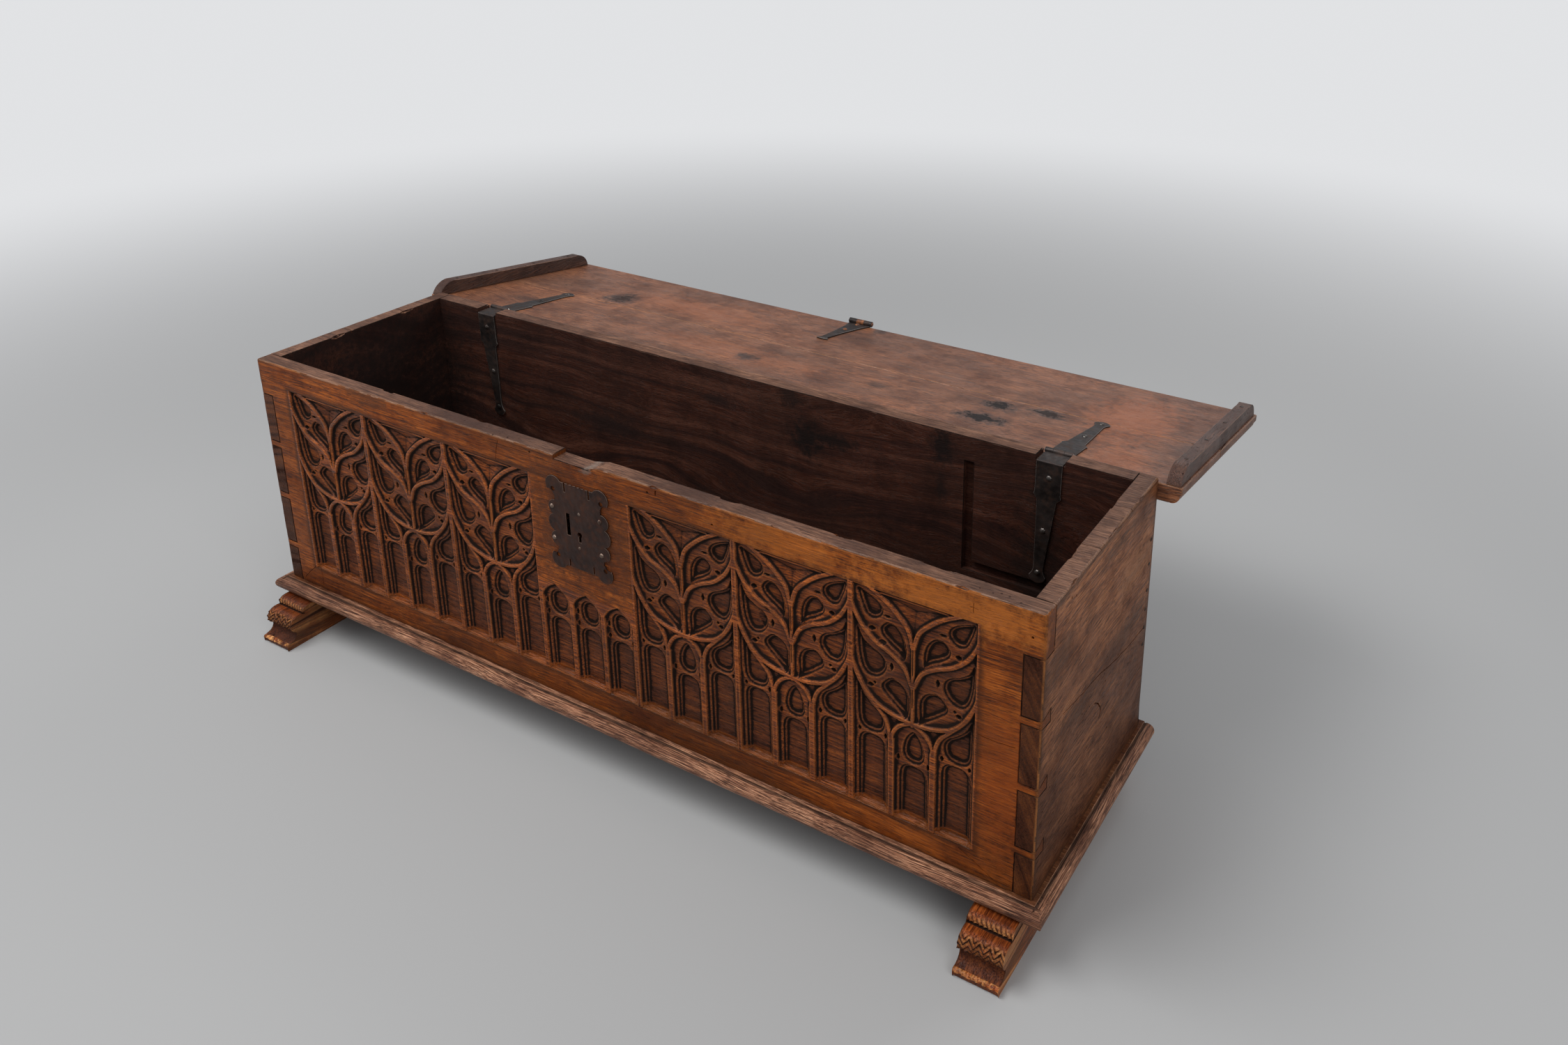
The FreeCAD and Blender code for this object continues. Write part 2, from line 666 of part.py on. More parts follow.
def make_lock_plate():
    y0, y1 = plate_front, front_face
    z0 = lock_middle

    def disc(dx, dz, r, over=0):
        return disc_y(plate_x + dx, z0 + dz, r, y0 - over, y1 + over)

    pieces = [block(plate_x - 45, plate_x + 45, y0, y1, z0 - 70, z0 + 72)]
    bites = []
    for way in (-1, 1):
        # a scroll at each corner, and three lobes down each side
        pieces += [disc(way * 45.5, 63, 16.0), disc(way * 45.5, -63, 15.5),
                   disc(way * 46, 25, 13.0), disc(way * 46, -1, 15.5), disc(way * 46, -28, 12.5)]
        for up in (-1, 1):
            bites += [disc(way * 55.5, up * 46, 9.0, 1), disc(way * 47.5, up * 56.5, 4.0, 1)]
            slit_low = 57 if up > 0 else -73
            bites.append(block(plate_x + way * 24 - 1.6, plate_x + way * 24 + 1.6,
                               y0 - 1, y1 + 1, z0 + slit_low, z0 + slit_low + 16))
    bites += [disc(dx, 74, 3.2, 1) for dx in (-16, -8, 0, 8, 16)]
    bites.append(block(slot_left, slot_left + slot_width, y0 - 1, y1 + 1,
                       z0 + slot_low, z0 + slot_high))
    bites.append(disc_y(keyhole_x, z0 + keyhole_height, keyhole_r, y0 - 1, y1 + 1))
    bites.append(block(keyhole_x - keyhole_bit_width / 2, keyhole_x + keyhole_bit_width / 2,
                       y0 - 1, y1 + 1, z0 + keyhole_bit_low, z0 + keyhole_height))
    return joined(pieces).cut(bites)


def make_spring(depth, bolt_top):
    """A hairpin: a riveted block, a leg to the right, a bend, and a leg that comes back
    and bears on the bolt."""
    z = lock_middle + spring_height
    left, root, bend = spring_x - spring_block, spring_x + spring_block, spring_x + 19.0
    drop, half = spring_bend / 2, spring_leaf / 2
    outer, inner = drop + half, drop - half
    steps = [(left, z - 4), (left, z + 4), (root, z + 4), (root, z + half), (bend, z + half),
             ((bend + outer, z - drop), (bend, z - drop - outer)),
             (spring_x - 2, bolt_top), (spring_x - 2, bolt_top + spring_leaf),
             (bend, z - drop - inner), ((bend + inner, z - drop), (bend, z - half)),
             (root, z - half), (root, z - 4)]
    return prism_y(steps, front_face, depth)


def make_cap(low):
    """A bent cap that covers the works from behind, with a foot for the lower rivet."""
    face, thick = front_face, cap_thickness
    deep = front_face + recess_depth - cap_clearance
    high = lock_middle + recess_high - 3.0
    foot = low + 12.0
    steps = [(face, low), (face, foot), (face + thick, foot), (face + thick, low + thick),
             (deep - thick, low + thick), (deep - thick, high - thick), (face, high - thick),
             (face, high), (deep, high), (deep, low)]
    return prism_x(steps, slot_left + slot_width + 2.0, bolt_tail + 4.0)


def make_lock():
    low, high = lock_middle + bolt_low, lock_middle + bolt_high
    y0 = front_face + bolt_front
    y1 = y0 + bolt_thickness
    gap = bolt_clearance

    wide, tall = bolt_notch
    bolt = block(bolt_head, bolt_tail, y0, y1, low, high)
    parts["lock_bolt"] = bolt.cut(block(keyhole_x - wide / 2, keyhole_x + wide / 2,
                                        y0 - 1, y1 + 1, low - 1, low + tall))

    # bridges riveted behind the plate, two round the bolt and one past the slot
    guides = []
    for x in (bolt_head + 2.5, bolt_tail - bolt_throw - guide_length - 2.0,
              slot_left - guide_length - 1.0):
        bridge = block(x, x + guide_length, front_face, y1 + gap + guide_thickness,
                       low - gap - guide_thickness, high + gap + guide_thickness)
        guides.append(bridge.cut(block(x - 1, x + guide_length + 1, front_face - 1, y1 + gap,
                                       low - gap, high + gap)))
    parts["bolt_guides"] = Part.makeCompound(guides)

    rivet_low = lock_middle + lower_rivet_height
    rivets = [nail((spring_x, plate_front, lock_middle + spring_height), (0, -1, 0),
                   plate_thickness + 9.0, 2.6, 1.2),
              nail((lower_rivet_x, plate_front, rivet_low), (0, -1, 0),
                   plate_thickness + 4.0, 2.6, 1.2)]
    parts["lock_rivets"] = Part.makeCompound(rivets)
    parts["bolt_spring"] = drill(make_spring(y1, high + gap), rivets)
    parts["lock_cap"] = drill(make_cap(rivet_low - 6.0), rivets)
    parts["lock_plate"] = drill(make_lock_plate(), plate_nails + rivets)


# ---- build every piece with the lid shut

make_walls()
make_bottom()
make_runners()
make_lid()
for turn, word in ((-1, "left"), (1, "right")):
    make_hinge(turn, word)
make_hasp()
make_lock()
parts["strap_nails"] = Part.makeCompound(strap_nails)
parts["leaf_nails"] = Part.makeCompound(leaf_nails)
parts["hasp_strap_nails"] = Part.makeCompound(hasp_strap_nails)
parts["plate_nails"] = Part.makeCompound(plate_nails)
parts["batten_nails"] = Part.makeCompound(batten_nails)
parts["corner_nails"] = Part.makeCompound(corner_nails)
parts["wall_nails"] = Part.makeCompound(wall_nails)
parts["runner_nails"] = Part.makeCompound(runner_nails)

# ---- turn the lid open, and let the hasp hang from it under its own weight

lid_pieces = ["lid_back_plank", "lid_front_plank", "left_lid_batten", "right_lid_batten",
              "left_lid_leaf", "right_lid_leaf", "left_hinge_pin", "right_hinge_pin",
              "hasp_strap", "hasp_pin", "leaf_nails", "hasp_strap_nails", "batten_nails"]
hasp_pieces = ["hasp", "hasp_staple"]

hasp_solids = [solid for name in hasp_pieces for solid in parts[name].Solids]
weight = sum(solid.Volume for solid in hasp_solids)
mass_y = sum(solid.CenterOfMass.y * solid.Volume for solid in hasp_solids) / weight
mass_z = sum(solid.CenterOfMass.z * solid.Volume for solid in hasp_solids) / weight
hang = math.degrees(math.atan2(mass_y - hasp_y, hasp_z - mass_z))
lid_opening = 180.0 + lid_tilt
for name in lid_pieces + hasp_pieces:
    parts[name].rotate(lid_axis[0], lid_axis[1], -lid_opening)
open_axis = Part.Vertex(hasp_axis[0])
open_axis.rotate(lid_axis[0], lid_axis[1], -lid_opening)
for name in hasp_pieces:
    parts[name].rotate(open_axis.Point, Vector(1, 0, 0), lid_opening - hang)

# ---- the origin goes on the floor, under the middle of the open chest

reach = [shape.BoundBox for shape in parts.values()]
middle_y = (min(box.YMin for box in reach) + max(box.YMax for box in reach)) / 2
for shape in parts.values():
    shape.translate(Vector(0, -middle_y, 0))

os.makedirs("parts", exist_ok=True)
for name, shape in parts.items():
    shape.exportStep("parts/%s.step" % name)

print("pieces", len(parts), "solids", sum(len(shape.Solids) for shape in parts.values()))
print("box middle y %.3f" % -middle_y)
print("lid axis y %.3f z %.3f, opens %.1f degrees" % (hinge_y - middle_y, hinge_z, lid_opening))
print("hasp axis when open y %.3f z %.3f, shuts at %.2f degrees"
      % (open_axis.Point.y - middle_y, open_axis.Point.z, 360.0 - lid_opening + hang))
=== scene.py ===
import math

import bmesh
import bpy
import numpy as np
from mathutils import Euler, Matrix, Vector, noise


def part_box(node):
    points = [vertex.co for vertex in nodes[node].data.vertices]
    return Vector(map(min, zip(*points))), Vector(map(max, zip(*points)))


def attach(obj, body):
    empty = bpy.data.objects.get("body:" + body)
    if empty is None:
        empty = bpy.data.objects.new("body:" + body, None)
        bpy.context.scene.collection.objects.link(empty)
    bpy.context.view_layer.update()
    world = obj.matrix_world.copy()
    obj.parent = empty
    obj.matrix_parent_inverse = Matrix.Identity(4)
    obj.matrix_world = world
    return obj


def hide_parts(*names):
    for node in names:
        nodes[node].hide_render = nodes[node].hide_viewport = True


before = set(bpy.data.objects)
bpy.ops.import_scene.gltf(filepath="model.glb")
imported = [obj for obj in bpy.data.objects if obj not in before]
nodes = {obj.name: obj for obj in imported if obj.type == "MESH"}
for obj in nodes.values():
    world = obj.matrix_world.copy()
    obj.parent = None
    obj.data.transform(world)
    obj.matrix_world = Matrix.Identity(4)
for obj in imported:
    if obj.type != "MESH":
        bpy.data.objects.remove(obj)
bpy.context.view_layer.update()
mm = 0.001

boardLow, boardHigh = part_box("front_board")
boxBottom = boardLow[2]              # top of the bottom boards
rimHeight = boardHigh[2]
frontFace = boardLow[1]
frontInner = boardHigh[1]
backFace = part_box("back_board")[1][1]


# small helpers for meshes

def toObject(bm, name, smooth=False):
    mesh = bpy.data.meshes.new(name)
    bm.normal_update()
    bm.to_mesh(mesh)
    bm.free()
    if smooth:
        mesh.polygons.foreach_set("use_smooth", [True] * len(mesh.polygons))
    piece = bpy.data.objects.new(name, mesh)
    bpy.context.scene.collection.objects.link(piece)
    return piece


def coat(piece, finish):
    piece.data.materials.clear()
    piece.data.materials.append(finish)


def settle(piece, body, slot, finish, *replaced):
    coat(piece, finish)
    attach(piece, body)
    if replaced:
        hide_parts(*replaced)
    return piece


def evaluated(piece):
    # the piece's mesh with its modifiers worked out
    graph = bpy.context.evaluated_depsgraph_get()
    return bpy.data.meshes.new_from_object(piece.evaluated_get(graph))


def vertsOf(made):
    return [part for part in made if isinstance(part, bmesh.types.BMVert)]


def rimOf(made):
    return [part for part in made if isinstance(part, bmesh.types.BMEdge) and part.is_boundary]


def bmFromNode(nodeName):
    bm = bmesh.new()
    bm.from_mesh(nodes[nodeName].data)
    bmesh.ops.remove_doubles(bm, verts=bm.verts, dist=0.02 * mm)
    bmesh.ops.dissolve_limit(bm, angle_limit=math.radians(1.0), verts=bm.verts, edges=bm.edges)
    return bm


shading = {"flat": 1.5, "muchWider": 25}      # degrees, and how many times the area


def shadeByAngle(bm, rounded=(), limit=26):
    # smooth over curves, crisp at corners and wherever a wide flat meets a narrow strip
    for face in bm.faces:
        face.smooth = True
    for edge in bm.edges:
        if len(edge.link_faces) != 2:
            edge.smooth = False
            continue
        one, two = edge.link_faces
        areas = sorted((one.calc_area(), two.calc_area()))
        turn = math.degrees(edge.calc_face_angle(0))
        edge.smooth = not (turn > limit * (2 if one in rounded and two in rounded else 1)
                           or (one in rounded) != (two in rounded)
                           or (turn > shading["flat"]
                               and areas[1] > shading["muchWider"] * areas[0]))


def splitRun(edge, step):
    # cuts an edge into even runs without cutting the faces beside it
    count = int(edge.calc_length() / step)
    start, end = edge.verts
    runs, rest = [], edge
    for k in range(count, 0, -1):
        made, vert = bmesh.utils.edge_split(rest, start, 1 / (k + 1))
        near, rest = (made, rest) if end in rest.verts else (rest, made)
        runs.append(near)
        start = vert
    return runs + [rest]


chipping = {"coarse": 26.0, "fine": 95.0, "fineShare": 0.8}


def softenEdges(bm, width, shortest, wide=None, wideWidth=0.0, chipEvery=0.0, chip=0.0,
                segments=2, sharpest=28):
    # rounds the long outer arrises, the wide ones more, leaves nail holes and inner corners
    # alone, wears the arrises away unevenly by up to chip, and returns a new bmesh
    largest = max(width, wideWidth)
    weight = bm.edges.layers.float.new("bevel_weight_edge")
    for edge in [e for e in bm.edges if len(e.link_faces) == 2 and e.is_convex
                 and e.calc_face_angle(0) > math.radians(sharpest)
                 and e.calc_length() > shortest * mm]:
        isWide = wide and wide((edge.verts[0].co + edge.verts[1].co) / 2)
        for run in splitRun(edge, chipEvery * mm) if chipEvery else [edge]:
            run[weight] = 1.0 if isWide else width / largest
    rough = toObject(bm, "rough")
    rough.data.materials.append(None)
    rough.data.materials.append(None)
    modifier = rough.modifiers.new("soften", "BEVEL")
    modifier.limit_method = "WEIGHT"
    modifier.width = largest * mm
    modifier.segments = segments
    modifier.profile = 0.5
    modifier.use_clamp_overlap = False
    modifier.material = 1            # marks the rounded faces
    made = evaluated(rough)
    bpy.data.objects.remove(rough)
    bm = bmesh.new()
    bm.from_mesh(made)
    bm.normal_update()
    worn = bm.verts.layers.float.new("wornAndHighlitEdge")
    dirt = bm.verts.layers.float.new("dirt")
    rounded = {face for face in bm.faces if face.material_index == 1}
    shadeByAngle(bm, rounded)
    # outer arrises get the worn colour; the other rounded arrises, such as the seams between
    # boards, get dirt and painted shade
    for vert in bm.verts:
        inner = all(face in rounded for face in vert.link_faces)
        outer = inner and (wide is None or wide(vert.co))
        vert[worn] = 1.0 if outer else 0.0
        vert[dirt] = 1.0 if inner and not outer else 0.0
        if inner and chip:
            uneven = noise.noise(vert.co * chipping["coarse"]) \
                + chipping["fineShare"] * noise.noise(vert.co * chipping["fine"])
            deep = chip * (wideWidth / width if outer and wide else 1.0) * mm
            vert.co -= vert.normal * max(0.0, uneven) * deep
    for face in bm.faces:
        face.material_index = 0
    return bm


def cutAway(piece, cutter):
    # takes the cutter's shape out of the piece for good
    modifier = piece.modifiers.new("cut", "BOOLEAN")
    modifier.operation = "DIFFERENCE"
    modifier.solver = "EXACT"
    modifier.object = cutter
    made = evaluated(piece)
    piece.modifiers.clear()
    if len(made.vertices) >= len(piece.data.vertices) / 2:       # a cut that fails is left out
        piece.data = made
    else:
        print("cut left out:", cutter.name)
    bpy.data.objects.remove(cutter)
    return piece


bites = {"ragged": 0.35, "lumps": 1.9, "apart": 0.37}     # apart: no two bites are alike


def biteCutter(name, spot, size):
    # a ragged lump, to take a bruise out of an arris
    bm = bmesh.new()
    bmesh.ops.create_icosphere(bm, subdivisions=3, radius=1.0)
    for vert in bm.verts:
        lump = noise.noise(vert.co * bites["lumps"] + Vector(spot) * bites["apart"])
        vert.co *= 1 + bites["ragged"] * lump
    bmesh.ops.scale(bm, vec=Vector(size) * mm, verts=bm.verts)
    bmesh.ops.translate(bm, vec=Vector(spot) * mm, verts=bm.verts)
    return toObject(bm, name)


def blackened(bm):
    # the inside of a cut is darkened: dirt and painted shade
    dirt = bm.verts.layers.float.new("dirt")
    for vert in bm.verts:
        vert[dirt] = 1.0
    return bm


cracks = {"above": 2, "wander": 1.3, "winding": 0.11}    # above: the blade starts off the face


def crackCutter(name, points, width, depth, into):
    # a thin blade along a wandering line on a board's face
    bm = bmesh.new()
    into = Vector(into)
    verts = []
    for spot in throughPoints(points, steps=8):
        spot = Vector(spot)
        wander = Vector(noise.noise_vector(spot * cracks["winding"])) * cracks["wander"]
        start = spot + wander - wander.project(into) - into * cracks["above"]
        verts.append(bm.verts.new(start * mm))
    edges = [bm.edges.new(pair) for pair in zip(verts[:-1], verts[1:])]
    made = bmesh.ops.extrude_edge_only(bm, edges=edges)["geom"]
    bmesh.ops.translate(bm, vec=into * (depth + cracks["above"]) * mm, verts=vertsOf(made))
    bmesh.ops.solidify(bm, geom=bm.faces[:], thickness=width * mm)
    bmesh.ops.recalc_face_normals(bm, faces=bm.faces)
    return toObject(blackened(bm), name)


def holeCutter(name, spot, radius, depth, into):
    bm = bmesh.new()
    bmesh.ops.create_cone(bm, cap_ends=True, segments=12, radius1=radius * mm,
                          radius2=radius * 0.8 * mm, depth=depth * 2 * mm)
    turn = Vector((0, 0, 1)).rotation_difference(Vector(into)).to_matrix().to_4x4()
    bmesh.ops.transform(bm, matrix=Matrix.Translation(Vector(spot) * mm) @ turn, verts=bm.verts)
    return toObject(blackened(bm), name)


def dress(piece, finish, chosen):
    # gives the faces whose direction (and middle) pass the test another finish
    mesh = piece.data
    mesh.materials.append(finish)
    spot = len(mesh.materials) - 1
    for face in mesh.polygons:
        if chosen(face.normal, face.center):
            face.material_index = spot


def boxCutter(name, low, high):
    bm = bmesh.new()
    bmesh.ops.create_cube(bm, size=1.0)
    size = Vector(high) - Vector(low)
    bmesh.ops.scale(bm, vec=size, verts=bm.verts)
    bmesh.ops.translate(bm, vec=(Vector(high) + Vector(low)) / 2, verts=bm.verts)
    return toObject(bm, name)


# finishes

def put(tree, kind, settings=None, **inputs):
    # adds a node; an input that is a socket is linked, and anything else is its value
    made = tree.nodes.new("ShaderNode" + kind)
    for key, value in (settings or {}).items():
        setattr(made, key, value)
    for key, value in inputs.items():
        byNumber = key[0] == "i" and key[1:].isdigit()
        socket = made.inputs[int(key[1:]) if byNumber else key.replace("_", " ")]
        if isinstance(value, bpy.types.NodeSocket):
            tree.links.new(value, socket)
        else:
            socket.default_value = value
    return made


def treeOf(*values):
    # the node tree that the linked values belong to
    return next(v.id_data for v in values if isinstance(v, bpy.types.NodeSocket))


def newFinish(name):
    finish = bpy.data.materials.new(name)
    finish.use_nodes = True
    tree = finish.node_tree
    return finish, tree, tree.nodes["Principled BSDF"]


def ramp(factor, stops):
    made = put(treeOf(factor), "ValToRGB", Fac=factor)
    ends = made.color_ramp.elements
    while len(ends) < len(stops):
        ends.new(0.5)
    for end, (place, colour) in zip(ends, stops):
        end.position = place
        end.color = colour if len(colour) == 4 else (*colour, 1.0)
    return made.outputs["Color"]


def blend(factor, first, second, way="MIX"):
    tree = treeOf(factor, first, second)
    made = put(tree, "Mix", {"data_type": "RGBA", "blend_type": way})
    for socket, value in ((made.inputs[0], factor), (made.inputs[6], first),
                          (made.inputs[7], second)):
        if isinstance(value, bpy.types.NodeSocket):
            tree.links.new(value, socket)
        else:
            socket.default_value = value if not isinstance(value, tuple) or len(value) == 4 \
                else (*value, 1.0)
    return made.outputs[2]


def calc(way, first, second, clamp=False):
    settings = {"operation": way, "use_clamp": clamp}
    return put(treeOf(first, second), "Math", settings, i0=first, i1=second).outputs[0]


def times(first, second, clamp=False):
    return calc("MULTIPLY", first, second, clamp)


def plus(first, second, clamp=False):
    return calc("ADD", first, second, clamp)


def minus(first, second):
    return calc("SUBTRACT", first, second)


def vectorCalc(way, *values):
    sockets = {"i%d" % k: value for k, value in enumerate(values)}
    made = put(treeOf(*values), "VectorMath", {"operation": way}, **sockets)
    return made.outputs["Value" if way == "LENGTH" else "Vector"]


def moved(place, **changes):
    return put(treeOf(place), "Mapping", Vector=place, **changes).outputs[0]


def parted(place):
    return put(treeOf(place), "SeparateXYZ", Vector=place).outputs


def speckle(place, scale, detail, roughness):
    return put(treeOf(place), "TexNoise", Vector=place, Scale=scale, Detail=detail,
               Roughness=roughness).outputs["Fac"]


def falloff(value, start, end, full, smooth=False):
    # nothing at the start, and full at the end
    way = {"interpolation_type": "SMOOTHSTEP" if smooth else "LINEAR"}
    return put(treeOf(value), "MapRange", way, Value=value, From_Min=start, From_Max=end,
               To_Min=0.0, To_Max=full).outputs[0]


def painted(tree, name):
    return put(tree, "Attribute", {"attribute_name": name}).outputs["Fac"]


def grey(value):
    return (value, value, value, 1.0)


grainTurns = {"x": (0, 0, 0), "y": (0, 0, math.pi / 2)}
woodPattern = {                       # how fine each pattern is, along the grain and across it
    "drift": (1.0, 2.6, 2.6), "streakAlong": 4.0, "pore": (22, 420, 420),
    "cloud": (1.0, 2.2, 2.2), "mottle": 14.0, "fleck": 75.0,
    "wormHole": 0.13, "sooty": 0.016, "sootDull": 0.4, "dirtDull": 0.35,
    "lowTop": 0.16, "lowShadeTint": (0.34, 0.30, 0.28), "bump": 0.0016}
markEdge = {"even": 0.6, "fleck": 1.9, "level": 0.2, "ragged": 1.6, "start": 1.95, "full": 1.2}
borderEdge = {"within": -0.0008, "uneven": 3.0}
ironPattern = {"scale": 70.0, "blotch": 18.0, "dent": 110.0, "bump": 0.0012}


def addMarks(place, ragged, colour, marks):
    # stains, knots and scorched spots: middle, size, colour and strength of each
    if marks:
        fleck = speckle(place, woodPattern["fleck"], 6.0, 0.75)
        ragged = plus(times(ragged, markEdge["even"]),
                      times(minus(fleck, 0.5), markEdge["fleck"]))
        ragged = plus(ragged, markEdge["level"])
    for middle, size, shade, strength in marks:
        scale = tuple(1 / v for v in size)
        spot = moved(place, Scale=scale,
                     Location=tuple(-m * k for m, k in zip(middle, scale)))
        rim = plus(vectorCalc("LENGTH", spot), times(ragged, markEdge["ragged"]))
        mask = falloff(rim, markEdge["start"], markEdge["full"], strength)
        colour = blend(mask, colour, shade)
    return colour


def addBorders(place, ragged, colour, borders):
    # grime along the edges of a panel: middle, half size, colour, reach, strength, and 1 for the
    # outside of the edges or -1 for the inside
    for middle, half, shade, reach, strength, side in borders:
        away = vectorCalc("ABSOLUTE", vectorCalc("SUBTRACT", place, middle))
        parts = parted(vectorCalc("SUBTRACT", away, half))
        far = calc("MAXIMUM", parts[0], calc("MAXIMUM", parts[1], parts[2]))
        far = times(far, float(side))
        there = calc("GREATER_THAN", far, borderEdge["within"])
        uneven = times(minus(ragged, 0.5), reach * borderEdge["uneven"])
        mask = falloff(plus(far, uneven), reach, 0.0, strength, smooth=True)
        colour = blend(times(mask, there), colour, shade)
    return colour


def woodFinish(name, look):
    # old wood: growth rings of uneven width, fine pores, stains, worn arrises with painted
    # highlight, dirt and painted shade in hollows
    finish, tree, shader = newFinish(name)
    place = put(tree, "TexCoord").outputs["Object"]
    turned = moved(place, Rotation=grainTurns[look["grain"]], Location=look["shift"])
    drift = put(tree, "TexNoise", Vector=moved(turned, Scale=woodPattern["drift"]),
                Scale=2.2, Detail=2.0, Roughness=0.5).outputs["Color"]
    bent = vectorCalc("MULTIPLY_ADD", drift, (0.0, look["bend"], look["bend"]), turned)
    radius = vectorCalc("LENGTH", moved(bent, Location=look["heart"], Scale=(0, 1, 1)))
    ringPlace = put(tree, "CombineXYZ", X=times(radius, look["rings"]),
                    Y=times(parted(bent)[0], 0.9)).outputs[0]
    rings = put(tree, "TexNoise", {"noise_dimensions": "2D"}, Vector=ringPlace, Scale=1.0,
                Detail=2.5, Roughness=0.55).outputs["Fac"]
    fine = look["fineness"]
    streak = speckle(moved(bent, Scale=(woodPattern["streakAlong"], fine, fine)), 3.0, 4.0, 0.7)
    pore = speckle(moved(bent, Scale=woodPattern["pore"]), 2.0, 2.0, 0.6)
    cloud = speckle(moved(turned, Scale=woodPattern["cloud"]), 3.4, 5.0, 0.6)
    mottle = speckle(place, woodPattern["mottle"], 6.0, 0.68)
    ringShare, spread = look["ringShare"], look["spread"]
    figure = plus(times(rings, ringShare), times(streak, 1.0 - ringShare))
    colour = ramp(figure, ((0.50 - spread, look["dark"]), (0.50, look["mid"]),
                           (0.50 + spread, look["light"])))
    colour = blend(ramp(cloud, ((0.42, grey(0)), (0.66, grey(look["stainShare"])))),
                   colour, look["stain"])
    colour = blend(ramp(mottle, ((0.42, grey(0.0)), (0.66, grey(look["mottle"])))),
                   colour, blend(1.0, colour, look["tone"], "MULTIPLY"))
    poreMask = ramp(pore, ((0.36, grey(look["pores"])), (0.45, grey(0))))
    colour = blend(poreMask, colour, look["pore"])
    edge, dirt = painted(tree, "wornAndHighlitEdge"), painted(tree, "dirt")
    patchy = ramp(mottle, ((0.38, grey(0.25)), (0.60, grey(1.0))))
    # the worn colour is wear and, on the carving and the toes, a painted highlight; the dirt colour
    # is dirt and painted shade in hollows, seams and cracks
    colour = blend(times(edge, times(patchy, look["wear"])), colour, look["worn"])
    colour = blend(times(dirt, look["dirtAndShadeShare"], True), colour, look["dirt"])
    if look["lowShade"]:
        # painted shade: the foot of the board is darker than its upper part
        low = falloff(parted(place)[2], boxBottom + look.get("lowTop", woodPattern["lowTop"]),
                      boxBottom - 0.01, look["lowShade"])
        colour = blend(low, colour, blend(1.0, colour, woodPattern["lowShadeTint"], "MULTIPLY"))
    colour = addBorders(place, mottle, colour, look.get("borders", ()))
    colour = addMarks(place, mottle, colour, look.get("marks", ()))
    if look.get("worm"):
        # small round holes of the furniture beetle, in some places only
        cell = put(tree, "TexVoronoi", Vector=place, Scale=look["wormScale"]).outputs["Distance"]
        bored = times(calc("LESS_THAN", cell, woodPattern["wormHole"]),
                      calc("GREATER_THAN", cloud, look["worm"]))
        colour = blend(bored, colour, look["pore"])
    tree.links.new(colour, shader.inputs["Base Color"])
    # rubbed arrises shine, and soot, dirt and the painted shade in hollows are dull
    rough = ramp(plus(times(streak, 0.5), times(mottle, 0.5)),
                 ((0.40, grey(look["rough"] - 0.10)), (0.62, grey(look["rough"] + 0.12))))
    rough = minus(rough, times(edge, look["polish"]))
    darkness = put(tree, "RGBToBW", Color=colour).outputs[0]
    sooty = calc("LESS_THAN", darkness, woodPattern["sooty"])
    rough = plus(rough, times(sooty, woodPattern["sootDull"]))
    rough = plus(rough, times(dirt, woodPattern["dirtDull"]), True)
    tree.links.new(rough, shader.inputs["Roughness"])
    shader.inputs["Specular IOR Level"].default_value = look["gloss"]
    height = plus(times(streak, 0.8), times(poreMask, -0.5))
    height = plus(height, times(mottle, 0.8))
    bump = put(tree, "Bump", Height=height, Strength=look["relief"], Distance=woodPattern["bump"])
    tree.links.new(bump.outputs[0], shader.inputs["Normal"])
    return finish


def ironFinish(name, look):
    # forged iron: hammered hollows, rust in patches, and edges rubbed bright where it is touched,
    # partly wear and partly a painted highlight
    finish, tree, shader = newFinish(name)
    place = put(tree, "TexCoord").outputs["Object"]
    scale = speckle(place, ironPattern["scale"], 6.0, 0.62)
    blotch = speckle(place, ironPattern["blotch"], 4.0, 0.6)
    dent = put(tree, "TexVoronoi", {"feature": "SMOOTH_F1"}, Vector=place,
               Scale=ironPattern["dent"], Smoothness=0.7).outputs["Distance"]
    colour = blend(ramp(blotch, ((0.38, grey(0)), (0.64, grey(1)))), look["dark"], look["light"])
    colour = blend(ramp(scale, ((0.48, grey(0)), (0.68, grey(look["rustShare"])))),
                   colour, look["rust"])
    colour = blend(times(painted(tree, "wornAndHighlitEdge"), look["rub"]), colour, look["bright"])
    tree.links.new(colour, shader.inputs["Base Color"])
    rough = ramp(scale, ((0.3, grey(look["rough"] - 0.12)), (0.7, grey(look["rough"] + 0.15))))
    tree.links.new(rough, shader.inputs["Roughness"])
    shader.inputs["Metallic"].default_value = look["metal"]
    shader.inputs["Specular IOR Level"].default_value = look["gloss"]
    height = plus(times(dent, 0.9), times(scale, 0.5))
    bump = put(tree, "Bump", Height=height, Strength=look["relief"], Distance=ironPattern["bump"])
    tree.links.new(bump.outputs[0], shader.inputs["Normal"])
    return finish


# a stain's middle and half sizes, from the numbers that differ on each face
stainOn = {
    "front": lambda x, z, wide, high: ((x, -0.383, z), (wide, 0.02, high)),
    "side": lambda x, y, z, deep, high: ((x, y, z), (0.05, deep, high)),
    "rim": lambda x, z, wide: ((x, -0.37, z), (wide, 0.05, 0.03)),
    "back": lambda x, z, wide, high: ((x, -0.014, z), (wide, 0.03, high)),
    "lid": lambda x, y, z, wide, deep: ((x, y, z), (wide, deep, 0.05))}


def stains(face, *rows):
    return tuple((*stainOn[face](*row[:-2]), *row[-2:]) for row in rows)


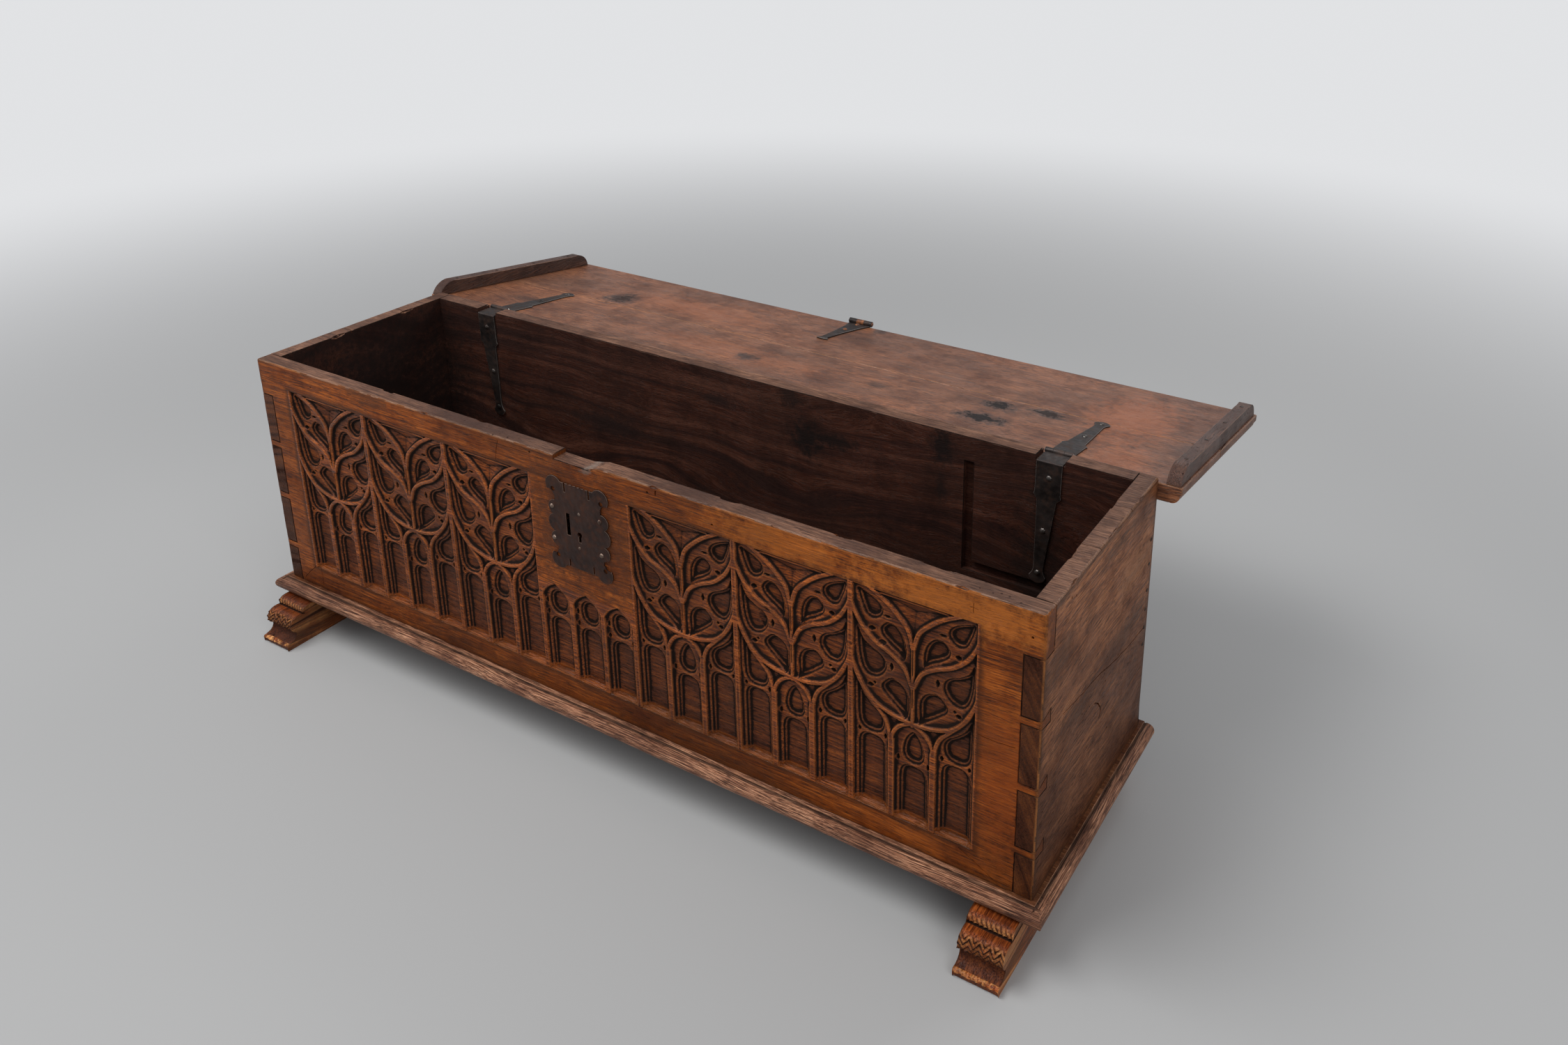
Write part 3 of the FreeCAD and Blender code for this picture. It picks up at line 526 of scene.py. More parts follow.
# shades that several looks share
soot = (0.01, 0.005, 0.004)
umber = (0.07, 0.028, 0.013)
oldStain = (0.05, 0.02, 0.012)
paleScar = (0.22, 0.17, 0.14)
lowDirt = (0.06, 0.02, 0.008)
shadow = (0.014, 0.007, 0.006)
plainLook = {
    "grain": "x", "bend": 0.025, "heart": (0.0, 0.62, 0.35), "rings": 95.0, "ringShare": 0.2,
    "fineness": 130, "spread": 0.125, "lowShade": 0.35, "polish": 0.16,
    "shift": (0, 0, 0), "dark": (0.12, 0.026, 0.004), "mid": (0.335, 0.078, 0.009),
    "light": (0.54, 0.146, 0.021), "stain": (0.105, 0.027, 0.006), "stainShare": 0.7,
    "tone": (0.42, 0.34, 0.3), "mottle": 0.85, "pore": (0.026, 0.008, 0.004), "pores": 0.75,
    "worn": (0.52, 0.2, 0.058), "wear": 0.55, "dirt": (0.01, 0.004, 0.002), "dirtAndShadeShare": 1.25,
    "rough": 0.42, "gloss": 0.13, "relief": 0.8}
frontLook = dict(
    plainLook,
    borders=(((-0.007, -0.38, 0.3085), (0.669, 0.3, 0.175), (0.05, 0.015, 0.004), 0.01, 0.75,
              1),
             ((0.0, -0.38, 0.31), (0.75, 0.3, 0.2175), (0.06, 0.02, 0.006), 0.009, 0.6, -1)),
    marks=stains("front", (-0.007, 0.412, 0.13, 0.12, (0.095, 0.027, 0.008), 0.9),
                 (0.735, 0.44, 0.04, 0.05, (0.09, 0.028, 0.009), 0.6),
                 (-0.46, 0.517, 0.06, 0.018, (0.08, 0.024, 0.007), 0.6),
                 (0.3, 0.105, 0.12, 0.014, lowDirt, 0.45),
                 (0.58, 0.112, 0.14, 0.016, (0.4, 0.1, 0.018), 0.2),
                 (0.36, 0.505, 0.13, 0.03, (0.5, 0.15, 0.024), 0.45),
                 (0.63, 0.5, 0.15, 0.04, (0.56, 0.17, 0.028), 0.55),
                 (0.7, 0.26, 0.04, 0.13, (0.3, 0.06, 0.007), 0.5),
                 (-0.3, 0.105, 0.2, 0.018, lowDirt, 0.5))
    + (((0.014, -0.37, 0.517), (0.013, 0.05, 0.006), paleScar, 0.55),))
carvedLook = dict(plainLook, dark=(0.085, 0.018, 0.003), mid=(0.268, 0.057, 0.008),
                  light=(0.51, 0.128, 0.019), worn=(0.58, 0.185, 0.045), wear=0.5,
                  rough=0.27, gloss=0.22, spread=0.105)
sideLook = dict(
    plainLook, grain="y", heart=(0.5, 0.0, 0.25), shift=(0.0, 0.3, 0.1), bend=0.05, rings=50.0,
    dark=(0.15, 0.05, 0.017), mid=(0.3, 0.108, 0.04), light=(0.47, 0.2, 0.086),
    stain=(0.13, 0.048, 0.022), worn=(0.42, 0.21, 0.1), lowShade=0.95, lowTop=0.34,
    borders=(((0.0, -0.184, 0.31), (0.8, 0.1995, 0.2175), (0.055, 0.022, 0.01), 0.014, 0.75,
              -1),),
    worm=0.6, wormScale=85.0,
    marks=stains("side", (0.75, -0.335, 0.43, 0.055, 0.035, umber, 0.6),
                 (0.75, -0.265, 0.31, 0.085, 0.022, (0.06, 0.024, 0.012), 0.6),
                 (0.75, -0.07, 0.33, 0.08, 0.022, umber, 0.55),
                 (0.75, -0.15, 0.497, 0.09, 0.014, umber, 0.5),
                 (0.75, -0.06, 0.415, 0.07, 0.03, (0.36, 0.16, 0.07), 0.5),
                 (-0.75, -0.2, 0.36, 0.11, 0.04, umber, 0.5)))
endLook = dict(
    plainLook, grain="y", dark=(0.042, 0.011, 0.003), mid=(0.105, 0.028, 0.007),
    light=(0.185, 0.056, 0.014), stain=(0.06, 0.019, 0.007), rings=110.0, ringShare=0.55,
    lowShade=0.3)
rimLook = dict(
    plainLook, lowShade=0, dark=(0.08, 0.033, 0.018), mid=(0.17, 0.078, 0.044),
    light=(0.29, 0.145, 0.085), stain=(0.085, 0.038, 0.022), stainShare=0.8,
    worn=(0.36, 0.19, 0.11), rough=0.4, gloss=0.22, worm=0.62, wormScale=80.0,
    marks=stains("rim", (0.02, 0.51, 0.012, paleScar, 0.6), (-0.25, 0.527, 0.1, oldStain, 0.7),
                 (0.2, 0.527, 0.07, oldStain, 0.7), (0.47, 0.527, 0.05, (0.06, 0.024, 0.014), 0.6)))
insideLook = dict(
    plainLook, heart=(0.0, 0.1, 0.28), shift=(0.3, 0.1, 0.4), bend=0.16, lowShade=0.3,
    rings=48.0, ringShare=0.6, dark=(0.022, 0.007, 0.005), mid=(0.056, 0.019, 0.012),
    light=(0.11, 0.042, 0.026), stain=(0.03, 0.013, 0.009), stainShare=0.6,
    worn=(0.235, 0.13, 0.082), rough=0.45, gloss=0.15,
    marks=stains("back", (0.153, 0.447, 0.04, 0.04, soot, 1.0),
                 (0.205, 0.455, 0.05, 0.016, soot, 0.9), (0.12, 0.515, 0.03, 0.02, soot, 0.8),
                 (0.409, 0.5, 0.022, 0.035, soot, 0.95), (0.407, 0.425, 0.012, 0.03, soot, 0.7),
                 (-0.033, 0.472, 0.05, 0.014, shadow, 0.7),
                 (-0.289, 0.36, 0.09, 0.03, shadow, 0.6),
                 (0.58, 0.3, 0.05, 0.2, (0.014, 0.007, 0.005), 0.7))
    # the inner face of the left side board is made darker, in the soot colour
    + (((-0.74, -0.18, 0.31), (0.12, 0.3, 0.25), soot, 0.85),))
lidLook = dict(
    plainLook, heart=(0.0, 0.12, 0.42), shift=(0.7, 0.2, 0.3), bend=0.07, rings=42.0, lowShade=0,
    dark=(0.105, 0.034, 0.014), mid=(0.23, 0.082, 0.034), light=(0.37, 0.146, 0.064),
    stain=(0.125, 0.056, 0.032), worn=(0.36, 0.18, 0.085), gloss=0.38, worm=0.66, wormScale=70.0,
    marks=stains("lid", (0.62, 0.27, 0.483, 0.085, 0.15, (0.36, 0.098, 0.026), 0.5),
                 (0.67, 0.06, 0.505, 0.05, 0.09, (0.34, 0.094, 0.025), 0.4),
                 (-0.35, 0.3, 0.478, 0.2, 0.06, (0.33, 0.096, 0.029), 0.35),
                 (-0.1, 0.12, 0.5, 0.28, 0.05, (0.31, 0.092, 0.028), 0.3),
                 (-0.499, 0.265, 0.483, 0.04, 0.05, soot, 0.9),
                 (-0.059, 0.111, 0.503, 0.026, 0.024, soot, 0.85),
                 (0.201, 0.129, 0.501, 0.022, 0.016, soot, 0.6),
                 (0.417, 0.1, 0.505, 0.05, 0.026, soot, 1.0),
                 (0.415, 0.176, 0.495, 0.034, 0.028, soot, 1.0),
                 (0.502, 0.192, 0.492, 0.036, 0.022, soot, 0.95),
                 (0.03, 0.43, 0.46, 0.018, 0.03, soot, 0.7),
                 (-0.62, 0.122, 0.502, 0.05, 0.016, soot, 0.5),
                 (0.741, 0.168, 0.496, 0.02, 0.045, oldStain, 0.6)))
battenLook = dict(
    lidLook, grain="y", gloss=0.3, dark=(0.045, 0.017, 0.011), mid=(0.085, 0.034, 0.021),
    light=(0.15, 0.066, 0.04), stain=(0.07, 0.04, 0.028), worn=(0.34, 0.18, 0.11), marks=(),
    worm=0.5, wormScale=75.0)
runnerLook = dict(
    plainLook, grain="y", lowShade=0, shift=(0.1, 0.4, 0.2), heart=(0.0, 0.2, 0.1),
    dark=(0.08, 0.015, 0.004), mid=(0.235, 0.048, 0.009), light=(0.43, 0.108, 0.02),
    stain=(0.09, 0.024, 0.008), stainShare=0.6, worn=(0.84, 0.38, 0.13), wear=1.0, rough=0.34,
    gloss=0.2, dirt=(0.016, 0.005, 0.002), spread=0.105,
    marks=(((-0.65, -0.4, 0.035), (0.1, 0.12, 0.06), (0.05, 0.014, 0.005), 0.5),))
bottomLook = dict(
    plainLook, lowShade=0, shift=(0.2, 0.5, 0.1), dark=(0.085, 0.028, 0.01),
    mid=(0.17, 0.062, 0.024), light=(0.29, 0.125, 0.055), worn=(0.42, 0.22, 0.11))
mouldLook = dict(
    bottomLook, spread=0.075, ringShare=0.05, fineness=330, dark=(0.08, 0.026, 0.013),
    mid=(0.33, 0.132, 0.064), light=(0.64, 0.33, 0.19), stain=(0.115, 0.04, 0.019),
    stainShare=0.5, rough=0.46, gloss=0.3, relief=1.0)
mouldSideLook = dict(mouldLook, grain="y")

strapIron = {"dark": (0.018, 0.014, 0.013), "light": (0.05, 0.038, 0.034),
             "rust": (0.1, 0.042, 0.022), "rustShare": 0.35, "bright": (0.42, 0.38, 0.35),
             "rub": 0.7, "rough": 0.48, "metal": 0.55, "gloss": 0.4, "relief": 0.7}
plateIron = dict(strapIron, dark=(0.018, 0.008, 0.006), light=(0.042, 0.018, 0.012),
                 rust=(0.08, 0.028, 0.014), rustShare=0.6, metal=0.1, gloss=0.18, rough=0.46,
                 bright=(0.3, 0.2, 0.15))
nailIron = dict(plateIron, dark=(0.07, 0.045, 0.035), light=(0.3, 0.22, 0.175), metal=0.75,
                rough=0.3, rustShare=0.3)
strapNailIron = dict(strapIron, dark=(0.03, 0.026, 0.024), light=(0.1, 0.088, 0.08), metal=0.7,
                     rough=0.36, rustShare=0.2)
haspIron = dict(strapIron, dark=(0.075, 0.03, 0.018), light=(0.16, 0.07, 0.04),
                rust=(0.36, 0.13, 0.042), rustShare=0.85, bright=(0.62, 0.48, 0.38), metal=0.4)
wornIron = dict(strapIron, dark=(0.22, 0.2, 0.185), light=(0.42, 0.39, 0.36), rough=0.32,
                metal=0.85)

frontWood = woodFinish("frontWood", frontLook)
carvedWood = woodFinish("carvedWood", carvedLook)
sideWood = woodFinish("sideWood", sideLook)
insideWood = woodFinish("insideWood", insideLook)
lidWood = woodFinish("lidWood", lidLook)
battenWood = woodFinish("battenWood", battenLook)
endWood = woodFinish("endWood", endLook)
rimWood = woodFinish("rimWood", rimLook)
runnerWood = woodFinish("runnerWood", runnerLook)
bottomWood = woodFinish("bottomWood", bottomLook)
mouldWood = woodFinish("mouldWood", mouldLook)
mouldSideWood = woodFinish("mouldSideWood", mouldSideLook)
hingeIron = ironFinish("hingeIron", strapIron)
lockPlateIron = ironFinish("lockPlateIron", plateIron)
domedIron = ironFinish("domedIron", nailIron)
rustyIron = ironFinish("rustyIron", haspIron)
brightIron = ironFinish("brightIron", wornIron)
strapNail = ironFinish("strapNail", strapNailIron)
print("finishes made")


# the carved front

carving = {
    "left": -676.0, "right": 662.0, "low": 41.0, "high": 391.0, "bays": 7,
    "spacing": 1.15,          # of the grid that carries the relief
    "backOff": 19.5,          # thickness of a bay's block
    "hollow": 5.5, "hollowReach": 5.2, "ground": 12.0,
    "stepOne": (3.3, 3.4), "stepLedge": 1.0, "stepTwo": (3.8, 3.1),   # reach and depth
    "sillRise": 1.6, "sillDepth": 11.0, "tool": 0.25,
    "lockBay": 3, "lockRecess": ((-47.0, 280.0), (33.0, 364.0)), "lockRecessDepth": 17.6,
    "headRise": 1.2, "lipFade": 2.0}
bayWidth = (carving["right"] - carving["left"]) / carving["bays"]
halfBay = bayWidth / 2


def throughPoints(points, steps=10, closed=False):
    # a smooth line through the given points, as short straight runs
    given = [np.array(p, float) for p in points]
    count = len(given)
    line = []
    for k in range(count if closed else count - 1):
        if closed:
            four = [given[(k + j - 1) % count] for j in range(4)]
        else:
            four = [given[min(max(k + j - 1, 0), count - 1)] for j in range(4)]
        for t in np.linspace(0, 1, steps, endpoint=False):
            line.append(0.5 * ((2 * four[1]) + (four[2] - four[0]) * t
                               + (2 * four[0] - 5 * four[1] + 4 * four[2] - four[3]) * t ** 2
                               + (3 * four[1] - four[0] - 3 * four[2] + four[3]) * t ** 3))
    line.append(line[0] if closed else given[-1])
    return np.array(line)


def distanceTo(line, a, z):
    best = np.full(a.shape, 1e9)
    for start, end in zip(line[:-1], line[1:]):
        run = end - start
        length = max(float(run @ run), 1e-9)
        t = np.clip(((a - start[0]) * run[0] + (z - start[1]) * run[1]) / length, 0, 1)
        best = np.minimum(best, np.hypot(a - start[0] - t * run[0], z - start[1] - t * run[1]))
    return best


def within(loop, a, z):
    inside = np.zeros(a.shape, bool)
    for start, end in zip(loop[:-1], loop[1:]):
        crosses = (start[1] > z) != (end[1] > z)
        rise = end[1] - start[1]
        at = start[0] + (z - start[1]) * (end[0] - start[0]) / (rise if abs(rise) > 1e-9 else 1e-9)
        inside ^= crosses & (a < at)
    return inside


def cove(depthIn, reach, full):
    # a quarter-round hollow: steep at its edge and level at its foot
    t = np.clip(depthIn / reach, 0, 1)
    return full * np.sqrt(1 - (1 - t) ** 2)


def mirrored(half):
    # the whole outline, whose points are given up to its middle
    return half + tuple((-a, z) for a, z in reversed(half) if a)


# half a bay of tracery: the first number is the distance from the bay's middle, the second the
# height in the box. The bars stand at the board's face, and the openings are sunk between them.
traceryBars = (
    (((0, 318), (8, 345), (23, 362), (43, 378), (67, 391.5)), 2.7),
    (((0, 258), (3, 264), (13, 285), (33, 300), (58, 312), (78, 330), (91, 352), (95.5, 368)), 2.5),
    (((0, 203), (14, 204), (33, 207), (58, 217), (78, 238), (91, 265), (95.5, 285)), 2.5),
    (((0, 200), (0, 262)), 2.2),
    (((0, 258), (0, 320)), 2.2),
    (((95.5, 30), (95.5, 400)), 3.9),
    (((31.8, 30), (31.8, 166)), 4.3),
    (((31.5, 160), (30.5, 174), (24, 187), (13, 197), (0, 203)), 2.4),
    (((33, 160), (35.5, 180), (42, 196), (55, 211), (72, 230), (86, 254), (95.5, 276)), 2.4))
traceryOpenings = (
    ((14, 296), (12.3, 309), (15.3, 324), (22.3, 336), (31, 342.5), (41, 343), (48.5, 337),
     (52.5, 329), (49, 319), (38.3, 310.4), (26.3, 303.4), (18.3, 297.4)),
    ((86, 382), (70.5, 378), (56.5, 371), (48.5, 362), (48.5, 352), (54.5, 344.5), (64.5, 340.5),
     (74.5, 345), (80.5, 357), (85, 370)),
    ((9.5, 207), (7.5, 225), (8.5, 240), (15.3, 251.5), (25.3, 257.5), (36, 258.5), (45, 251.5),
     (50.5, 243), (48.5, 234.5), (40.3, 226.5), (28.3, 216.5), (18.3, 210)),
    ((87, 322), (78.5, 307), (64.5, 297), (51.5, 291), (43.5, 282), (42.5, 269), (49.5, 257.5),
     (59.5, 251), (71.5, 251), (80.5, 261), (85.5, 280), (87, 300)),
    ((86.5, 236), (76.5, 219), (63.5, 206), (51.5, 197), (45, 186), (45.5, 173), (52.5, 163.8),
     (66.5, 160.8), (78.5, 163.8), (85.5, 174), (87, 194), (87, 214)),
    mirrored(((0, 187), (-8, 180), (-13.5, 170), (-16.5, 158), (-16.5, 147), (-11, 138),
              (0, 134.5))))
traceryLights = (
    ((41.6, 30), (41.6, 138), (43.3, 148), (49, 155.5), (58, 158.6), (70, 158.6), (79, 155.5),
     (84.7, 148), (86.4, 138), (86.4, 30)),
    mirrored(((-22, 30), (-22, 110), (-20, 121), (-14.5, 128.5), (-6, 131.6))))
traceryPits = (
    ((64, 327), (5, 3.2)), ((66, 238), (4.5, 3.2)), ((34.5, 277), (3.0, 6.0)),
    ((60, 243), (2.6, 2.2)), ((41, 352), (5.5, 2.0)), ((83.8, 161), (2.4, 3.6)),
    ((43.0, 163), (2.4, 4.2)), ((22.8, 139), (2.2, 4.6)), ((0, 298), (0.9, 20)),
    ((0, 243), (1.0, 15)))

lancetBars = (
    (((31.8, 30), (31.8, 176)), 4.1),
    (((31.8, 168), (29, 184), (17, 198), (0, 208)), 2.4))
lancetOpenings = (
    mirrored(((0, 192), (-10, 189), (-17, 181), (-19, 170), (-17, 158), (-10, 150),
              (0, 147.5))),)
lancetLights = (
    mirrored(((-22, 30), (-22, 122), (-20, 132), (-14, 139), (-6, 142))),)
lancetPits = (((23, 147), (2.2, 4.4)), ((23.5, 168), (2.0, 5.0)))


def sunkStep(inside):
    # an opening's edge: two small hollows with a narrow ledge between them
    (reachOne, depthOne), (reachTwo, depthTwo) = carving["stepOne"], carving["stepTwo"]
    return cove(inside, reachOne, depthOne) \
        + cove(inside - reachOne - carving["stepLedge"], reachTwo, depthTwo)


def carve(a, z, bars, openings, lights, pits):
    # depth below the board's face: a hollow beside every bar, and a second one in every opening
    fromBar = np.full(a.shape, 1e9)
    for points, half in bars:
        fromBar = np.minimum(fromBar, distanceTo(throughPoints(points), a, z) - half)
    depth = cove(fromBar, carving["hollowReach"], carving["hollow"])
    extra = carving["ground"] - carving["hollow"]
    opened = np.zeros(a.shape)
    for points in openings:
        loop = throughPoints(points, closed=True)
        inside = np.where(within(loop, a, z), distanceTo(loop, a, z), 0)
        opened = np.maximum(opened, sunkStep(inside))
    for points in lights:
        arch = throughPoints(points[1:-1])
        sides = np.vstack([[points[0]], arch, [points[-1]]])
        inside = within(np.vstack([sides, [points[0]]]), a, z)
        inside = np.where(inside, distanceTo(sides, a, z), 0)
        opened = np.maximum(opened, sunkStep(inside))
    for (pa, pz), (ra, rz) in pits:
        near = 1 - np.abs((a - pa) / ra) ** 1.5 - np.abs((z - pz) / rz) ** 1.5
        opened = np.maximum(opened, np.clip(near, 0, 1) ** 0.5 * extra * 0.75)
    depth = depth + opened
    sill = np.clip((z - carving["low"]) / carving["sillRise"], 0, 1) * carving["sillDepth"]
    return np.minimum(depth, sill + np.clip((z - 60) / 60, 0, 1) * 2), fromBar


spandrel = {"ledge": 385.5, "edge": 3.2, "edgeDepth": 4.2, "sideFall": 0.23, "topFall": 0.36,
            "deepest": 5.0, "rim": 0.9, "rimWidth": 2.5, "beadRise": 0.8, "beadEnd": 2.6}


def traceryDepth(x, z):
    a = np.abs(x)
    depth, fromBar = carve(a, z, traceryBars, traceryOpenings, traceryLights, traceryPits)
    # over the two leaves a sunk three-sided pyramid, with a small bead along its upper edge
    crest = np.interp(a, *zip(*traceryBars[0][0]))
    over = (z > crest) & (a < 70)
    lip = cove(fromBar, spandrel["edge"], spandrel["edgeDepth"])
    fall = np.minimum(fromBar * spandrel["sideFall"], (spandrel["ledge"] - z) * spandrel["topFall"])
    sunk = lip + np.clip(fall, 0, spandrel["deepest"])
    slope = np.clip(spandrel["ledge"] + spandrel["rimWidth"] - z, 0, 99) * spandrel["rim"]
    sunk = np.minimum(sunk, spandrel["rim"] + slope)
    bead = spandrel["rim"] + (z - spandrel["ledge"]) * spandrel["beadRise"]
    bead = np.minimum(bead, np.clip(carving["high"] - z, 0, 9) * spandrel["beadEnd"])
    sunk = np.where(z > spandrel["ledge"], np.minimum(bead, lip), sunk)
    depth = np.where(over, sunk, depth)
    head = np.clip((carving["high"] - z) / carving["headRise"], 0, 1) * carving["ground"]
    return np.minimum(depth, head)


def lockBayDepth(x, z):
    third = bayWidth / 3
    b = np.abs((x + halfBay) % third - third / 2)
    depth, _ = carve(b, z, lancetBars, lancetOpenings, lancetLights, lancetPits)
    arch = np.interp(b, *zip(*reversed(lancetBars[1][0])))
    return np.where(z > arch, 0, depth)


# places where wood has broken away: x, height in the box, half width, half height, depth
frontChips = ((277, 296, 5, 4, 1.6), (470, 294, 6, 4, 2.4), (322, 276, 9, 14, 3.0),
              (335, 300, 7, 5, 2.0), (519, 311, 6, 3, 2.5), (-485, 300, 4, 7, 1.2),
              (88, 250, 4, 9, 1.0), (662, 275, 3, 6, 0.8), (549, 300, 5, 8, 1.8))


def blurred(values, size=2):
    total = np.zeros_like(values)
    padded = np.pad(values, size, mode="edge")
    for i in range(2 * size + 1):
        for j in range(2 * size + 1):
            total += padded[i:i + values.shape[0], j:j + values.shape[1]]
    return total / (2 * size + 1) ** 2


# how far wear with painted highlight, and dirt with painted shade, follow the relief; the sloping
# sills are clean and painted light
bayWearDirtAndLight = {"crest": 0.9, "close": 1.1, "wide": 0.20, "wideMost": 0.8, "wideSize": 6,
           "deep": 34, "deepMost": 0.3, "sillTop": 9.5, "sillClean": 0.9}


def makeBay(number):
    left = carving["left"] + number * bayWidth
    middle = left + halfBay
    columns = round(bayWidth / carving["spacing"])
    rows = round((carving["high"] - carving["low"]) / carving["spacing"])
    bm = bmesh.new()
    bmesh.ops.create_grid(bm, x_segments=columns, y_segments=rows, size=0.5)
    rim = [e for e in bm.edges if e.is_boundary]
    gridCount = len(bm.verts)
    back = bmesh.ops.extrude_edge_only(bm, edges=rim)["geom"]
    bmesh.ops.holes_fill(bm, edges=rimOf(back), sides=0)
    bm.verts.index_update()
    piece = toObject(bm, "carvedBay%d" % (number + 1), smooth=True)
    mesh = piece.data
    flat = np.empty(len(mesh.vertices) * 3)
    mesh.vertices.foreach_get("co", flat)
    spots = flat.reshape(-1, 3)
    x = spots[:, 0] * bayWidth + middle
    z = (spots[:, 1] + 0.5) * (carving["high"] - carving["low"]) + carving["low"]
    isLockBay = number == carving["lockBay"]
    shape = lockBayDepth if isLockBay else traceryDepth
    order = np.lexsort((x[:gridCount], np.round(z[:gridCount], 3)))
    gx = x[:gridCount][order].reshape(rows + 1, columns + 1)
    gz = z[:gridCount][order].reshape(rows + 1, columns + 1)
    depth = shape(gx - middle, gz)
    if isLockBay:
        low, high = carving["lockRecess"]
        inRecess = (gx > low[0]) & (gx < high[0]) & (gz > low[1]) & (gz < high[1])
        depth = np.where(inRecess, carving["lockRecessDepth"], depth)
    border = np.minimum(np.minimum(gx - left, left + bayWidth - gx),
                        np.minimum(gz - carving["low"], carving["high"] - gz))
    fade = np.clip(border / carving["lipFade"], 0, 1)
    rough = np.array([[noise.fractal(Vector((px * 0.09, 7.0 + number, pz * 0.16)), 0.9, 2.1, 3)
                       for px in gx[0]] for pz in gz[:, 0]])
    depth = depth + rough * carving["tool"] * fade * (0.4 + depth / 10)
    for cx, cz, rx, rz, deep in frontChips:
        ring = np.hypot((gx - cx) / rx, (gz - cz) / rz) + rough * 0.35
        depth = depth + np.clip(1 - ring, 0, 1) ** 0.6 * deep * fade
    soft = blurred(depth)
    wide = blurred(depth, bayWearDirtAndLight["wideSize"])
    # crests get wear and a painted highlight; creases, hollows and the deep ground get dirt and
    # painted shade
    crest = np.clip((soft - depth) * bayWearDirtAndLight["crest"], 0, 1)
    dirt = np.clip((depth - soft) * bayWearDirtAndLight["close"], 0, 1) \
        + np.clip((depth - wide) * bayWearDirtAndLight["wide"], 0, bayWearDirtAndLight["wideMost"]) \
        + np.clip(depth / bayWearDirtAndLight["deep"], 0, bayWearDirtAndLight["deepMost"])
    # the sloping sills face up: they lose their dirt and painted shade, and get a painted highlight
    # with some dust
    sill = np.clip((carving["low"] + bayWearDirtAndLight["sillTop"] - gz) / 3, 0, 1) \
        * np.clip(depth - 0.5, 0, 1)
    dirt = dirt * (1 - bayWearDirtAndLight["sillClean"] * sill)
    crest = np.maximum(crest, (0.55 + rough * 0.5) * sill)
    worn, grimeAndShade = np.zeros(len(x)), np.zeros(len(x))
    y = np.full(len(x), carving["backOff"])
    y[:gridCount][order] = depth.ravel()
    worn[:gridCount][order] = crest.ravel()
    grimeAndShade[:gridCount][order] = dirt.ravel()
    spots[:, 0] = x * mm
    spots[:, 1] = frontFace + y * mm
    spots[:, 2] = boxBottom + z * mm
    mesh.vertices.foreach_set("co", spots.ravel())
    for attribute, values in (("wornAndHighlitEdge", worn), ("dirt", grimeAndShade)):
        mesh.attributes.new(attribute, "FLOAT", "POINT").data.foreach_set("value", values)
    mesh.update()
    bm = bmesh.new()
    bm.from_mesh(mesh)
    bmesh.ops.recalc_face_normals(bm, faces=bm.faces)
    bm.to_mesh(mesh)
    bm.free()
    return settle(piece, "box", "front_wood", carvedWood, "front_board")


for bayNumber in range(carving["bays"]):
    bay = makeBay(bayNumber)
    if bayNumber == carving["lockBay"]:       # the flat panel round the lock is part of the frame
        dress(bay, frontWood, lambda normal, middle: middle.y < frontFace + 0.6 * mm
              and middle.z > boxBottom + 0.205)
print("carved bays made")


# boards: copies of the joinery with worn arrises

def outerArris(spot):
    # on two of the chest's outer faces at once
    near = 5 * mm
    return (abs(spot.x) > -boardLow[0] - near) + (spot.y < frontFace + near) \
        + (spot.y > backFace - near) + (spot.z > rimHeight - near) > 1


def everyArris(spot):
    # a lid plank is worn all round
    return True


boards = {"shortest": 9.0, "chipEvery": 9.0}     # of the arrises that are worn


def wearBoard(nodeName, name, body, slot, finish, softness, chip, cutters=(), wide=None,
              wideWidth=0.0):
    bm = softenEdges(bmFromNode(nodeName), softness, chip=chip, wide=wide, wideWidth=wideWidth,
                     segments=3 if wide else 2, **boards)
    piece = toObject(bm, name)
    for cutter in cutters:
        cutAway(piece, cutter)
    return settle(piece, body, slot, finish, nodeName)


pocket = boxCutter("fieldPocket",
                   (carving["left"] * mm, frontFace - 0.01, boxBottom + carving["low"] * mm),
                   (carving["right"] * mm, frontFace + carving["backOff"] * mm,
                    boxBottom + carving["high"] * mm))
# cracks and holes: height is from the floor
frontCracks = (
    ("frontCrack", ((663, 320.5), (690, 319), (716, 321)), 1.0, 5.0),
    ("leftMend", ((-713, 100), (-690, 122), (-664, 143)), 0.9, 2.5),
    ("leftMendFoot", ((-664, 143), (-661, 120), (-663, 99)), 0.8, 2.5),
    ("rightMend", ((640, 128), (668, 114), (700, 95)), 1.0, 2.5),
    ("railCrack", ((-200, 513), (-120, 516), (-62, 512)), 0.6, 3.0),
    ("railScribe", ((-165, 522), (-170, 504), (-173, 486)), 0.9, 1.2),
    ("railSlot", ((148, 515), (148, 519), (148, 523)), 2.4, 4.0),
    ("crossUp", ((652, 497), (652, 504), (652, 511)), 0.9, 1.5),
    ("crossOver", ((646, 504), (652, 504), (659, 504)), 0.9, 1.5))
frontHoles = ((-98, 519, 2.2), (131, 516, 2.4), (246, 498, 2.2), (732, 490, 2.2),
              (-610, 505, 1.6))
sideCracks = (
    ("sideCrack", ((-314, 338), (-250, 325), (-184, 314), (-134, 300), (-60, 286), (6, 278)),
     1.6, 6.0),
    ("sideGouge", ((-198, 276), (-181, 262), (-170, 247), (-176, 236)), 2.2, 2.5),
    ("sideSplit", ((-383, 470), (-350, 462), (-318, 458)), 0.7, 4.0),
    ("sideFoot", ((-360, 150), (-330, 170), (-305, 205)), 0.6, 3.0))
sideHoles = ((-307, 508, 2.2), (-292, 503, 1.8), (-139, 195, 1.8), (-250, 440, 1.5))
